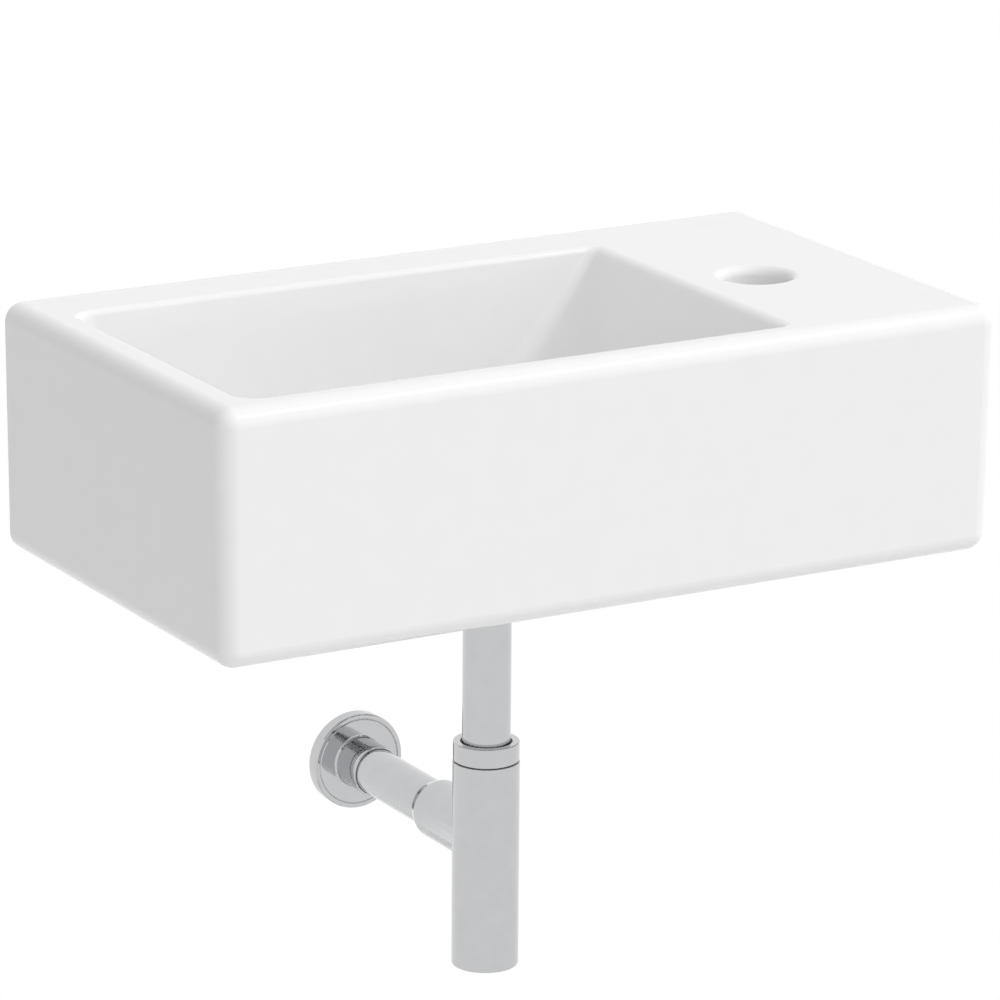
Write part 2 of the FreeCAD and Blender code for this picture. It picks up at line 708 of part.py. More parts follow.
def union_slip_ring():
    """Plastic ring under the tube's collar. It comes down with the nut."""
    body = ring("union_slip_ring", "tube_radius + slide_gap", "tube_collar_radius",
                "union_slip_thickness")
    place(body, DRAIN_X, DRAIN_Y, UNION_SLIP_UNDER)
    return body


def union_nut():
    """Round nut on the waste's tail. Its lip carries the tube's collar."""
    height = f"( {TAIL_END} + union_engagement - {UNION_UNDER} )"
    thread = "( tail_radius + thread_gap )"
    hole = "( tube_radius + top_nut_hole_gap )"
    body = turned("union_nut", [
        (hole, "0"),
        ("union_radius - union_chamfer", "0"),
        ("union_radius", "union_chamfer"),
        ("union_radius", f"{height} - union_chamfer"),
        ("union_radius - union_chamfer", height),
        (thread, height),
        (thread, "union_floor"),
        (hole, "union_floor"),
    ])
    place(body, DRAIN_X, DRAIN_Y, UNION_UNDER)
    return body


def inlet_tube():
    """Chromed tube with a flared collar at its top, open into the trap below."""
    foot = f"( {BRANCH_AXIS} - tube_below_branch )"
    length = f"( {COLLAR_TOP} - {foot} )"
    body = turned("inlet_tube", [
        ("tube_radius - tube_wall", "0"),
        ("tube_radius", "0"),
        ("tube_radius", f"{length} - tube_collar_thickness"),
        ("tube_collar_radius", f"{length} - tube_collar_thickness"),
        ("tube_collar_radius", length),
        ("tube_radius - tube_wall", length),
    ])
    place(body, DRAIN_X, DRAIN_Y, foot)
    return body


# ---- Trap ---------------------------------------------------------------------------------

NUT_PLATE_UNDER = f"( {TOP_NUT_UNDER} + top_nut_height - top_nut_plate )"
SLIP_RING_UNDER = f"( {NUT_PLATE_UNDER} - face_gap - slip_ring_thickness )"
CONE_SEAL_UNDER = f"( {SLIP_RING_UNDER} - face_gap - cone_seal_thickness )"


def top_nut():
    """Round compression nut over the neck of the trap."""
    hole = "( tube_radius + top_nut_hole_gap )"
    thread = "( neck_radius + thread_gap )"
    body = turned("top_nut", [
        (thread, "0"),
        ("top_nut_radius", "0"),
        ("top_nut_radius", "top_nut_height"),
        (f"{hole} + top_nut_round", "top_nut_height"),
        (hole, "top_nut_height - top_nut_round"),
        (hole, "top_nut_height - top_nut_plate"),
        (thread, "top_nut_height - top_nut_plate"),
    ])
    round_circles(body, "top_nut_round", [("top_nut_radius", "top_nut_height")])
    place(body, DRAIN_X, DRAIN_Y, TOP_NUT_UNDER)
    return body


def top_slip_ring():
    """Plastic ring under the nut's lip. It rises with the nut."""
    body = ring("top_slip_ring", "tube_radius + slide_gap", "slip_ring_outer",
                "slip_ring_thickness")
    place(body, DRAIN_X, DRAIN_Y, SLIP_RING_UNDER)
    return body


def top_cone_seal():
    """Rubber cone ring pressed between the tube and the neck's seat."""
    bore = "( tube_radius + slide_gap )"
    body = turned("top_cone_seal", [
        (bore, "0"),
        ("cone_seal_outer - neck_seat", "0"),
        ("cone_seal_outer", "neck_seat"),
        ("cone_seal_outer", "cone_seal_thickness"),
        (bore, "cone_seal_thickness"),
    ])
    place(body, DRAIN_X, DRAIN_Y, CONE_SEAL_UNDER)
    return body


def trap_body():
    """Bottle of the trap with its threaded neck and side branch, one brass casting."""
    top = "( trap_length + neck_height )"
    bottle = turned("trap_bottle", [
        ("0", "0"),
        ("trap_radius", "0"),
        ("trap_radius", "trap_length"),
        ("neck_radius", "trap_length"),
        ("neck_radius", top),
        ("0", top),
    ])
    round_circles(bottle, "trap_round", [("trap_radius", "0")])
    branch = turned("trap_branch", [
        ("0", "0"),
        ("branch_radius", "0"),
        ("branch_radius", "branch_straight"),
        ("branch_mouth", "branch_reach"),
        ("0", "branch_reach"),
    ])
    round_circles(branch, "branch_shoulder_round", [("branch_radius", "branch_straight")])
    branch_height = "( trap_length - branch_drop )"
    place(branch, "0", "0", branch_height, TO_WALL)
    outside = boolean("Fuse", "trap_outside", bottle, branch)
    without_bore = boolean("Cut", "trap_bored", outside, trap_bore(top))
    socket = branch_bore()
    place(socket, "0", "0", branch_height, TO_WALL)
    body = boolean("Cut", "trap_body", without_bore, socket)
    place(body, DRAIN_X, DRAIN_Y, TRAP_BOTTOM)
    return body


def trap_bore(top):
    """Inside of the bottle: plug thread, wide chamber, neck and cone seat."""
    chamber = "( trap_radius - trap_wall )"
    neck = "( tube_radius + neck_gap )"
    return turned("trap_bore", [
        ("0", "0"),
        ("clean_bore", "0"),
        ("clean_bore", "clean_bore_depth"),
        (chamber, "clean_bore_depth"),
        (chamber, "trap_length - 2 * neck_throat"),
        (neck, "trap_length - neck_throat"),
        (neck, f"{top} - neck_seat"),
        (f"{neck} + neck_seat", top),
        ("0", top),
    ])


def branch_bore():
    """Inside of the branch: waterway, pipe socket and two ring grooves."""
    socket = "( tube_radius + slide_gap )"
    half = "ring_groove_width / 2"
    corners = [
        ("0", "0"),
        ("waterway_radius", "0"),
        ("waterway_radius", "socket_start"),
        (socket, "socket_start"),
    ]
    for groove in ("ring_groove_first", "ring_groove_first + ring_groove_pitch"):
        corners += [
            (socket, f"{groove} - {half}"),
            ("ring_groove_radius", f"{groove} - {half}"),
            ("ring_groove_radius", f"{groove} + {half}"),
            (socket, f"{groove} + {half}"),
        ]
    corners += [(socket, "branch_reach"), ("0", "branch_reach")]
    return turned("branch_bore", corners)


PLUG_UNDER = f"( {TRAP_BOTTOM} + clean_recess )"
CLEAN_GROOVE = "( clean_thickness - clean_groove_from_top - clean_groove_width / 2 )"


def cleaning_plug():
    """Screwed plug in the bottle's bottom, with a ring groove and a coin slot."""
    outside = "( clean_bore - thread_gap )"
    groove = f"( {outside} - clean_groove_depth )"
    half = "clean_groove_width / 2"
    blank = turned("cleaning_plug_blank", [
        ("0", "0"),
        (outside, "0"),
        (outside, f"{CLEAN_GROOVE} - {half}"),
        (groove, f"{CLEAN_GROOVE} - {half}"),
        (groove, f"{CLEAN_GROOVE} + {half}"),
        (outside, f"{CLEAN_GROOVE} + {half}"),
        (outside, "clean_thickness"),
        ("0", "clean_thickness"),
    ])
    slot = doc.addObject("Part::Box", "coin_slot")
    bind(slot, "Length", "coin_slot_length")
    bind(slot, "Width", "coin_slot_width")
    bind(slot, "Height", "2 * coin_slot_depth")
    place(slot, "0 - coin_slot_length / 2", "0 - coin_slot_width / 2", "0 - coin_slot_depth")
    body = boolean("Cut", "cleaning_plug", blank, slot)
    place(body, DRAIN_X, DRAIN_Y, PLUG_UNDER)
    return body


def sealing_ring(label, radius, wire):
    """A round rubber ring about its own Z axis."""
    torus = doc.addObject("Part::Torus", label)
    torus.Label = label
    bind(torus, "Radius1", radius)
    bind(torus, "Radius2", wire)
    return torus


def cleaning_ring():
    """Sealing ring in the plug's groove. It comes down with the plug."""
    radius = "clean_bore - thread_gap - clean_groove_depth + face_gap + clean_wire"
    body = sealing_ring("cleaning_ring", radius, "clean_wire")
    place(body, DRAIN_X, DRAIN_Y, f"{PLUG_UNDER} + {CLEAN_GROOVE}")
    return body


# ---- Outlet -------------------------------------------------------------------------------

def outlet_rings():
    """Two sealing rings in the branch's grooves."""
    radius = "tube_radius + slide_gap + ring_wire"
    rings = []
    for label, groove in (("inner_outlet_ring", "ring_groove_first"),
                          ("outer_outlet_ring", "( ring_groove_first + ring_groove_pitch )")):
        item = sealing_ring(label, radius, "ring_wire")
        place(item, DRAIN_X, f"{DRAIN_Y} + {groove}", BRANCH_AXIS, TO_WALL)
        rings.append(item)
    return group("outlet_rings", rings)


def group(label, items):
    """Like pieces kept together as one node of separate solids."""
    doc.recompute()
    compound = doc.addObject("Part::Compound", label)
    compound.Label = label
    compound.Links = items
    doc.recompute()
    return compound


PIPE_END = f"( {DRAIN_Y} + branch_reach - pipe_in_socket )"


def outlet_pipe():
    """Chromed pipe from the branch through the flange into the wall."""
    body = ring("outlet_pipe", "tube_radius - tube_wall", "tube_radius",
                f"pipe_in_wall - {PIPE_END}")
    place(body, DRAIN_X, PIPE_END, BRANCH_AXIS, TO_WALL)
    return body


def wall_flange():
    """Polished cover plate, hollow behind, with a collar round the pipe."""
    bore = "( tube_radius + sleeve_gap )"
    body = turned("wall_flange", [
        ("wall_flange_radius - wall_flange_rim", "0"),
        ("wall_flange_radius", "0"),
        ("wall_flange_radius", "wall_flange_thickness"),
        ("sleeve_radius", "wall_flange_thickness"),
        ("sleeve_radius", "sleeve_reach"),
        (bore, "sleeve_reach"),
        (bore, "wall_flange_thickness - wall_flange_plate"),
        ("wall_flange_radius - wall_flange_rim", "wall_flange_thickness - wall_flange_plate"),
    ])
    round_circles(body, "wall_flange_round", [("wall_flange_radius", "wall_flange_thickness")])
    round_circles(body, "sleeve_root_round", [("sleeve_radius", "wall_flange_thickness")])
    place(body, DRAIN_X, "0", BRANCH_AXIS, TO_FRONT)
    return body


def flange_grip_ring():
    """Rubber ring behind the plate that keeps the flange where it is pushed."""
    body = ring("flange_grip_ring", "tube_radius + slide_gap", "grip_ring_outer",
                "grip_ring_thickness")
    seat = "wall_flange_thickness - wall_flange_plate - grip_ring_thickness"
    place(body, DRAIN_X, f"0 - ( {seat} )", BRANCH_AXIS, TO_FRONT)
    return body


# ---- Wall fixings -------------------------------------------------------------------------

RIGHT_FIXING = "( fixing_spacing / 2 )"


def pair(label, right):
    """The right piece and its mirror image on the left, as one node."""
    left = doc.addObject("Part::Mirroring", f"{label}_left")
    left.Source = right
    left.Normal = Vector(1, 0, 0)
    return group(label, [left, right])


def hanger_bolts():
    """Two studs, pointed where they screw into the wall, with a plain neck between threads."""
    length = "( bolt_in_wall + bolt_end )"
    neck_front = "( bolt_in_wall - bolt_neck_depth )"
    neck_back = "( bolt_in_wall - bolt_neck_depth - bolt_neck_length )"
    stud = turned("right_hanger_bolt", [
        ("0", "0"),
        ("bolt_wall_radius", "bolt_point"),
        ("bolt_wall_radius", neck_back),
        ("bolt_neck_radius", neck_back),
        ("bolt_neck_radius", neck_front),
        ("bolt_radius", neck_front),
        ("bolt_radius", f"{length} - bolt_bevel"),
        ("bolt_radius - bolt_bevel", length),
        ("0", length),
    ])
    place(stud, RIGHT_FIXING, "bolt_in_wall", "0", TO_FRONT)
    return pair("hanger_bolts", stud)


def fixing_bushes():
    """Two flanged plastic bushes that keep the studs off the ceramic."""
    sleeve = "( back_wall - bush_setback )"
    bore = "( bolt_radius + bush_bore_gap )"
    outside = "( fixing_hole_radius - bush_sleeve_gap )"
    bush = turned("right_fixing_bush", [
        (bore, "0"),
        (outside, "0"),
        (outside, sleeve),
        ("bush_flange_radius", sleeve),
        ("bush_flange_radius", f"{sleeve} + bush_flange_thickness"),
        (bore, f"{sleeve} + bush_flange_thickness"),
    ])
    place(bush, RIGHT_FIXING, "0 - bush_setback", "0", TO_FRONT)
    return pair("fixing_bushes", bush)


BUSH_FACE = "( 0 - back_wall - bush_flange_thickness )"


def fixing_washers():
    """Two steel washers against the bushes."""
    washer = ring("right_fixing_washer", "bolt_radius + bush_bore_gap", "washer_radius",
                  "washer_thickness")
    place(washer, RIGHT_FIXING, BUSH_FACE, "0", TO_FRONT)
    return pair("fixing_washers", washer)


def fixing_nuts():
    """Two hexagon nuts on the studs."""
    nut = hexagon_nut("right_fixing_nut", "nut_flats", "nut_thickness",
                      "bolt_radius + thread_gap / 2", "nut_chamfer")
    place(nut, RIGHT_FIXING, f"{BUSH_FACE} - washer_thickness", "0", TO_FRONT)
    return pair("fixing_nuts", nut)


# ---- Build, check and write ---------------------------------------------------------------

SUB_PARTS = [
    basin_body,
    waste_body, waste_top_seal, waste_lower_seal, waste_slip_washer, waste_backnut,
    plug_cap, plug_seal, plug_stem, plug_cartridge, plug_spring,
    union_nut, union_washer, union_slip_ring, inlet_tube,
    top_nut, top_slip_ring, top_cone_seal,
    trap_body, cleaning_plug, cleaning_ring,
    outlet_pipe, outlet_rings, wall_flange, flange_grip_ring,
    hanger_bolts, fixing_bushes, fixing_washers, fixing_nuts,
]

nodes = [make() for make in SUB_PARTS]
doc.recompute()

for item in doc.Objects:
    if "Invalid" in item.State or "Error" in item.State:
        raise RuntimeError(f"{item.Label} failed: {item.State}")
for node in nodes:
    if node.Shape.isNull() or not node.Shape.isValid():
        raise RuntimeError(f"{node.Label} has no valid shape")

os.makedirs("parts", exist_ok=True)
for node in nodes:
    node.Shape.exportStep(f"parts/{node.Label}.step")
    box = node.Shape.BoundBox
    print(f"{node.Label}: {len(node.Shape.Solids)} solids, {node.Shape.Volume / 1000:.2f} cm3,"
          f" x {box.XMin:.1f}..{box.XMax:.1f}, y {box.YMin:.1f}..{box.YMax:.1f},"
          f" z {box.ZMin:.1f}..{box.ZMax:.1f}")
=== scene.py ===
import math

import bmesh
import bpy
import numpy as np
from mathutils import Matrix, Vector


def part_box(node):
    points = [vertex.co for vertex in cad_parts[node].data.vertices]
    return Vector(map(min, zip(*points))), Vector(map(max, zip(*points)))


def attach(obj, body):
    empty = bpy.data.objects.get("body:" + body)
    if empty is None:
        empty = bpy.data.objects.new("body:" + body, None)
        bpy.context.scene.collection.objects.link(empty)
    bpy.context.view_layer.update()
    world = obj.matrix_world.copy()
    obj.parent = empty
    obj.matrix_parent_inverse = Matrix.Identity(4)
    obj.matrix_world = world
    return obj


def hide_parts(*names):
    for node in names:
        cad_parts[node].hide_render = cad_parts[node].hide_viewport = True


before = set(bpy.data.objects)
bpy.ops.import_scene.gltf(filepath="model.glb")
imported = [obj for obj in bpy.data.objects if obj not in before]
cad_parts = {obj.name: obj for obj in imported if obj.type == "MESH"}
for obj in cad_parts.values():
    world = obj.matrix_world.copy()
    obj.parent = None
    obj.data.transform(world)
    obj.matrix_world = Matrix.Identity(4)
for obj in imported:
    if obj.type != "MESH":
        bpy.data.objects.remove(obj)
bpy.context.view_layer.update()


# ---- Basin ---------------------------------------------------------------------------------
# One slip-cast body of vitreous china: a thin shell, open underneath, with a deep bowl whose
# right wall slopes up to the tap ledge. It is glazed white all over, except for the back face,
# which is ground flat and left bare where it meets the wall.

MM = 0.001
EDGE_ROUND = 10.0
BACK_EDGE_ROUND = 3.0
SKIRT_LEAN = 1.2
RIM_LEFT = 21.5
RIM_FRONT = 17.0
RIM_BACK = 36.0
TAP_LEDGE = 118.0
BOWL_DEPTH = 98.0
BOWL_WALL = 12.0
WALL_LEAN = {"left": 8.0, "right": 42.0, "front": 6.0, "back": 10.0}
FLOOR_ROUND = 9.0
RIM_ROUND = {"left": 4.0, "right": 9.0, "front": 4.0, "back": 4.0}
SHARP = dict.fromkeys(RIM_ROUND, 0.0)
LEFT_CORNER_ROUND = 14.0
SLOPE_CORNER_AT_RIM = 5.0
SLOPE_CORNER_AT_FLOOR = 20.0
SKIRT_WALL = 14.0
SKIRT_FRONT = 18.0
BACK_WALL = 12.0
DECK_THICKNESS = 15.0
HOLLOW_CORNER_ROUND = 8.0
FOOT_ROUND = 2.0
TAP_HOLE_RADIUS = 17.5
TAP_HOLE_LIP = 5.5
TAP_HOLE_FROM_SIDE = 76.0
TAP_HOLE_FROM_WALL = 130.0
WASTE_HOLE_RADIUS = 22.5
WASTE_RECESS_RADIUS = 32.0
WASTE_RECESS_DEPTH = 3.0
WASTE_RECESS_LIP = 1.2
FIXING_HOLE_RADIUS = 7.0
FIXING_SPACING = 260.0
GROUND_FACE_REACH = 0.3
GLAZE_IOR = 1.52
BARE_ROUGHNESS = 0.75

china_low, china_high = (np.array(corner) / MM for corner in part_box("basin_body"))
waste_low, waste_high = (np.array(corner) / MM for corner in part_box("waste_body"))
LEFT, RIGHT = np.round([china_low[0], china_high[0]])
FRONT, WALL = np.round([china_low[1], china_high[1]])
UNDERSIDE, RIM = np.round([china_low[2], china_high[2]])
DRAIN_X, DRAIN_Y = ((waste_low + waste_high) / 2)[:2]


def new_piece(name, points, faces):
    """A mesh of these points, in millimetres. Equal points are merged and faces turned out."""
    mesh = bpy.data.meshes.new(name)
    mesh.from_pydata((np.asarray(points) * MM).tolist(), [], faces)
    shape = bmesh.new()
    shape.from_mesh(mesh)
    bmesh.ops.remove_doubles(shape, verts=shape.verts, dist=1e-7)
    bmesh.ops.recalc_face_normals(shape, faces=shape.faces)
    shape.to_mesh(mesh)
    shape.free()
    piece = bpy.data.objects.new(name, mesh)
    bpy.context.scene.collection.objects.link(piece)
    return piece


def level_ring(left, right, front, back, corner_rounds, height, steps=12):
    """A rectangle at one height whose corners, back right first and then anticlockwise, are
    quarter circles: each point is the corner's centre plus its radius times (cos, sin)."""
    quarter = np.linspace(0, np.pi / 2, steps + 1)
    corners = []
    for number, radius in enumerate(corner_rounds):
        turn = quarter + number * np.pi / 2
        centre_x = right - radius if number in (0, 3) else left + radius
        centre_y = back - radius if number in (0, 1) else front + radius
        corner = [centre_x + radius * np.cos(turn), centre_y + radius * np.sin(turn)]
        corners.append(np.stack([*corner, np.full_like(turn, height)], axis=1))
    return np.concatenate(corners)


def woven(name, rings):
    """Four-sided faces between each ring and the next, and one flat face on each end."""
    rings = np.asarray(rings)
    levels, around = rings.shape[:2]
    grid = np.arange(levels * around).reshape(levels, around)
    lower, upper = grid[:-1], grid[1:]
    corners = [lower, np.roll(lower, -1, axis=1), np.roll(upper, -1, axis=1), upper]
    quads = np.stack(corners, axis=-1).reshape(-1, 4).tolist()
    ends = [grid[0][::-1].tolist(), grid[-1].tolist()]
    return new_piece(name, rings.reshape(-1, 3), quads + ends)


def wall_inset(depth, lean, total_depth, edge_radius):
    """How far a leaning wall has come in at a depth: an arc of edge_radius down from the level
    rim, then the wall's own slope, depth times the tangent of its lean, then the floor's arc."""
    slope = math.radians(lean)
    bend = edge_radius * (1 - math.sin(slope))
    start = bend / math.cos(slope)
    floor_bend = FLOOR_ROUND * (1 - math.sin(slope))
    if depth < bend:
        return -start + math.sqrt(edge_radius ** 2 - (edge_radius - depth) ** 2)
    if depth <= total_depth - floor_bend:
        return depth * math.tan(slope)
    below = min(depth - (total_depth - FLOOR_ROUND), FLOOR_ROUND)
    centre = (total_depth - FLOOR_ROUND) * math.tan(slope) + FLOOR_ROUND / math.cos(slope)
    return centre - math.sqrt(FLOOR_ROUND ** 2 - below ** 2)


def bowl_ring(depth, total_depth, edge_radii, thickness, corner_rounds):
    """The bowl's outline at a depth below the rim. A thickness gives the bowl's outer face."""
    insets = {}
    curl = {}
    for side, lean in WALL_LEAN.items():
        inset = wall_inset(depth, lean, total_depth, edge_radii[side])
        insets[side] = inset - thickness / math.cos(math.radians(lean))
        curl[side] = inset - depth * math.tan(math.radians(lean))
    pairs = (("right", "back"), ("left", "back"), ("left", "front"), ("right", "front"))
    rounds = [max(radius - (curl[first] + curl[second]) / 2, 1.5)
              for radius, (first, second) in zip(corner_rounds, pairs)]
    return level_ring(LEFT + RIM_LEFT + insets["left"], RIGHT - TAP_LEDGE - insets["right"],
                      FRONT + RIM_FRONT + insets["front"], WALL - RIM_BACK - insets["back"],
                      rounds, RIM - depth)


def bowl_depths(total_depth, edge_radii):
    """Depths at even steps of all arcs, at every wall's bend, and evenly between them."""
    turn = np.linspace(0, np.pi / 2, 11)
    slopes = np.radians(list(WALL_LEAN.values()))
    radii = np.array([edge_radii[side] for side in WALL_LEAN])
    depths = [np.outer(radii, 1 - np.cos(turn)).ravel(), radii * (1 - np.sin(slopes)),
              np.linspace(radii.max(), total_depth - FLOOR_ROUND, 14),
              total_depth - FLOOR_ROUND * (1 - np.sin(turn)),
              total_depth - FLOOR_ROUND * (1 - np.sin(slopes))]
    return np.unique(np.round(np.concatenate(depths), 4))


def china_outside():
    """The outer block, as upright outlines from the front to the wall. Each edge is a quarter
    arc, tighter at the back, and the sides and front draw in towards the bottom in proportion
    to the height still missing to the rim."""
    turn = np.linspace(0, np.pi / 2, 13)
    steps = [*zip(FRONT + EDGE_ROUND * (1 - np.cos(turn)), EDGE_ROUND * (1 - np.sin(turn))),
             *zip(WALL - BACK_EDGE_ROUND * (1 - np.sin(turn)),
                  BACK_EDGE_ROUND * (1 - np.cos(turn)))]
    rings = []
    for place, come_in in steps:
        flat = level_ring(LEFT + come_in, RIGHT - come_in, UNDERSIDE + come_in, RIM - come_in,
                          [EDGE_ROUND - come_in] * 4, place)
        across, height, depth = flat.T
        draw = SKIRT_LEAN * (RIM - height) / (RIM - UNDERSIDE)
        rings.append(np.stack([across * (1 - draw / RIGHT),
                               depth + draw * (WALL - depth) / (WALL - FRONT), height], axis=1))
    return woven("basin_body", rings)


def bowl_space():
    """The inside of the bowl, drawn straight up past the rim so that it cuts cleanly."""
    rings = []
    for depth in bowl_depths(BOWL_DEPTH, RIM_ROUND):
        slope_corner = SLOPE_CORNER_AT_RIM + (SLOPE_CORNER_AT_FLOOR - SLOPE_CORNER_AT_RIM) * (
            min(depth / BOWL_DEPTH, 1))
        rounds = [slope_corner, LEFT_CORNER_ROUND, LEFT_CORNER_ROUND, slope_corner]
        rings.append(bowl_ring(depth, BOWL_DEPTH, RIM_ROUND, 0, rounds))
    above = rings[0] + [0, 0, DECK_THICKNESS]
    return woven("bowl_space", [above, *rings])


def space_underneath():
    """The room under the deck, from the foot up, with a small round at the foot's inner edge."""
    turn = np.linspace(0, np.pi / 2, 7)
    flares = [FOOT_ROUND, *(FOOT_ROUND * (1 - np.sin(turn))), 0]
    heights = [-3 * FOOT_ROUND, *(FOOT_ROUND * (1 - np.cos(turn))),
               RIM - UNDERSIDE - DECK_THICKNESS]
    rings = []
    for height, flare in zip(heights, flares):
        rings.append(level_ring(LEFT + SKIRT_WALL - flare, RIGHT - SKIRT_WALL + flare,
                                FRONT + SKIRT_FRONT - flare, WALL - BACK_WALL + flare,
                                [HOLLOW_CORNER_ROUND + flare] * 4, UNDERSIDE + height))
    return woven("space_underneath", rings)


def bowl_outside():
    """The bowl seen from below: the same walls, one thickness further out and deeper."""
    total = BOWL_DEPTH + BOWL_WALL
    rings = [bowl_ring(depth, total, SHARP, BOWL_WALL, [LEFT_CORNER_ROUND] * 4)
             for depth in bowl_depths(total, SHARP)]
    return woven("bowl_outside", rings)


def eased(corners, steps=8):
    """A closed outline from corners given as radius, height and rounding: each corner becomes
    an arc tangent to its two sides, whose centre lies on the line that halves the corner."""
    outline = []
    for number, (across, along, rounding) in enumerate(corners):
        here = np.array([across, along], float)
        if rounding == 0:
            outline.append(here)
            continue
        before = np.array(corners[number - 1][:2], float) - here
        after = np.array(corners[(number + 1) % len(corners)][:2], float) - here
        before /= np.linalg.norm(before)
        after /= np.linalg.norm(after)
        half = math.acos(np.clip(before @ after, -1, 1)) / 2
        middle = (before + after) / np.linalg.norm(before + after)
        centre = here + middle * rounding / math.sin(half)
        first = here + before * rounding / math.tan(half) - centre
        last = here + after * rounding / math.tan(half) - centre
        start = math.atan2(first[1], first[0])
        sweep = (math.atan2(last[1], last[0]) - start + math.pi) % (2 * math.pi) - math.pi
        turn = start + sweep * np.linspace(0, 1, steps + 1)
        outline.extend(centre + rounding * np.stack([np.cos(turn), np.sin(turn)], axis=1))
    return np.array(outline)


def turned(name, outline, foot, along=(0, 0, 1), around=128):
    """The outline, as radius and height, swept round the line that leaves foot along its
    direction: each point is foot, plus height that way, plus radius times (cos, sin) across."""
    along = np.array(along, float)
    across = np.array([1.0, 0, 0])
    other = np.cross(along, across)
    angle = np.linspace(0, 2 * np.pi, around, endpoint=False)
    wheel = np.cos(angle)[:, None] * across + np.sin(angle)[:, None] * other
    outline = np.asarray(outline, float)
    points = (np.array(foot, float) + outline[:, None, 1:] * along
              + outline[:, None, :1] * wheel[None])
    count = len(outline)
    grid = np.arange(count * around).reshape(count, around)
    lower, upper = grid, np.roll(grid, -1, axis=0)
    if outline[0, 0] == 0 and outline[-1, 0] == 0:
        lower, upper = lower[:-1], upper[:-1]
    corners = [lower, np.roll(lower, -1, axis=1), np.roll(upper, -1, axis=1), upper]
    quads = np.stack(corners, axis=-1).reshape(-1, 4).tolist()
    return new_piece(name, points.reshape(-1, 3), quads)


def combine(piece, other, operation="DIFFERENCE"):
    """The piece cut by, or joined with, the other as exact solids. The other is used up."""
    change = piece.modifiers.new("change", "BOOLEAN")
    change.operation = operation
    change.solver = "EXACT"
    change.object = other
    bpy.context.view_layer.update()
    graph = bpy.context.evaluated_depsgraph_get()
    result = bpy.data.meshes.new_from_object(piece.evaluated_get(graph))
    piece.modifiers.clear()
    piece.data = result
    bpy.data.objects.remove(other)
    return piece


def smoothed(piece, sharp_angle=32):
    """Smooth shading that breaks at edges sharper than the angle and keeps flat faces flat."""
    mesh = piece.data
    mesh.shade_smooth()
    mesh.set_sharp_from_angle(angle=math.radians(sharp_angle))
    weight = piece.modifiers.new("flat_faces_lead", "WEIGHTED_NORMAL")
    weight.keep_sharp = True
    weight.weight = 100
    return piece


def linear(code):
    """The linear colour of an sRGB hex code: each channel through the sRGB curve."""
    parts = np.array([int(code[place:place + 2], 16) for place in (1, 3, 5)]) / 255
    curve = np.where(parts <= 0.04045, parts / 12.92, ((parts + 0.055) / 1.055) ** 2.4)
    return (*curve.tolist(), 1.0)


def add_node(tree, kind, settings=(), sockets=()):
    """Adds one node. Each socket gets a plain value, or a link from another node's output."""
    node = tree.nodes.new(kind)
    for name, value in dict(settings).items():
        setattr(node, name, value)
    for socket, value in dict(sockets).items():
        if isinstance(value, bpy.types.NodeSocket):
            tree.links.new(value, node.inputs[socket])
        else:
            node.inputs[socket].default_value = value
    return node


def new_finish(name):
    """An empty material, and the piece's own coordinates in metres. Its output node comes later,
    from close_finish.
    """
    finish = bpy.data.materials.new(name)
    finish.use_nodes = True
    tree = finish.node_tree
    tree.nodes.clear()
    place = add_node(tree, "ShaderNodeTexCoord").outputs["Object"]
    return finish, tree, place


def close_finish(tree, shader):
    """Sends the shader to the material's output."""
    add_node(tree, "ShaderNodeOutputMaterial", sockets={"Surface": shader.outputs[0]})


def per_mm(size):
    """Noise scale whose blotches are about this many millimetres across."""
    return 1 / (size * MM)


def vitreous_glaze():
    """Fired glaze on china: deep, even white that mirrors its surroundings softly, with a
    slow waviness from the mould. The bare back face is matt and slightly warmer."""
    finish, tree, place = new_finish("vitreous_glaze")
    wave = add_node(tree, "ShaderNodeTexNoise", sockets={
        "Vector": place, "Scale": per_mm(42), "Detail": 1.0, "Roughness": 0.4})
    cloud = add_node(tree, "ShaderNodeTexNoise", sockets={
        "Vector": place, "Scale": per_mm(15), "Detail": 3.0})
    grit = add_node(tree, "ShaderNodeTexNoise", sockets={
        "Vector": place, "Scale": per_mm(0.8), "Detail": 2.0})
    glaze = add_node(tree, "ShaderNodeMix", {"data_type": "RGBA"}, {
        "Factor": cloud.outputs["Fac"], 6: linear("#E9E9E9"), 7: linear("#ECECEC")})
    bare = add_node(tree, "ShaderNodeMix", {"data_type": "RGBA"}, {
        "Factor": grit.outputs["Fac"], 6: linear("#D9D5CB"), 7: linear("#E6E3DB")})
    axes = add_node(tree, "ShaderNodeSeparateXYZ", sockets={"Vector": place})
    ground_flat = add_node(tree, "ShaderNodeMath", {"operation": "GREATER_THAN"}, {
        0: axes.outputs["Y"], 1: -GROUND_FACE_REACH * MM})
    colour = add_node(tree, "ShaderNodeMix", {"data_type": "RGBA"}, {
        "Factor": ground_flat.outputs[0], 6: glaze.outputs[2], 7: bare.outputs[2]})
    shine = add_node(tree, "ShaderNodeMapRange", sockets={
        "Value": cloud.outputs["Fac"], "To Min": 0.07, "To Max": 0.11})
    roughness = add_node(tree, "ShaderNodeMix", {"data_type": "FLOAT"}, {
        "Factor": ground_flat.outputs[0], 2: shine.outputs[0], 3: BARE_ROUGHNESS})
    relief = add_node(tree, "ShaderNodeBump", sockets={
        "Height": wave.outputs["Fac"], "Strength": 1.0, "Distance": 0.06 * MM})
    close_finish(tree, add_node(tree, "ShaderNodeBsdfPrincipled", sockets={
        "Base Color": colour.outputs[2], "Roughness": roughness.outputs[0],
        "IOR": GLAZE_IOR, "Normal": relief.outputs[0]}))
    return finish


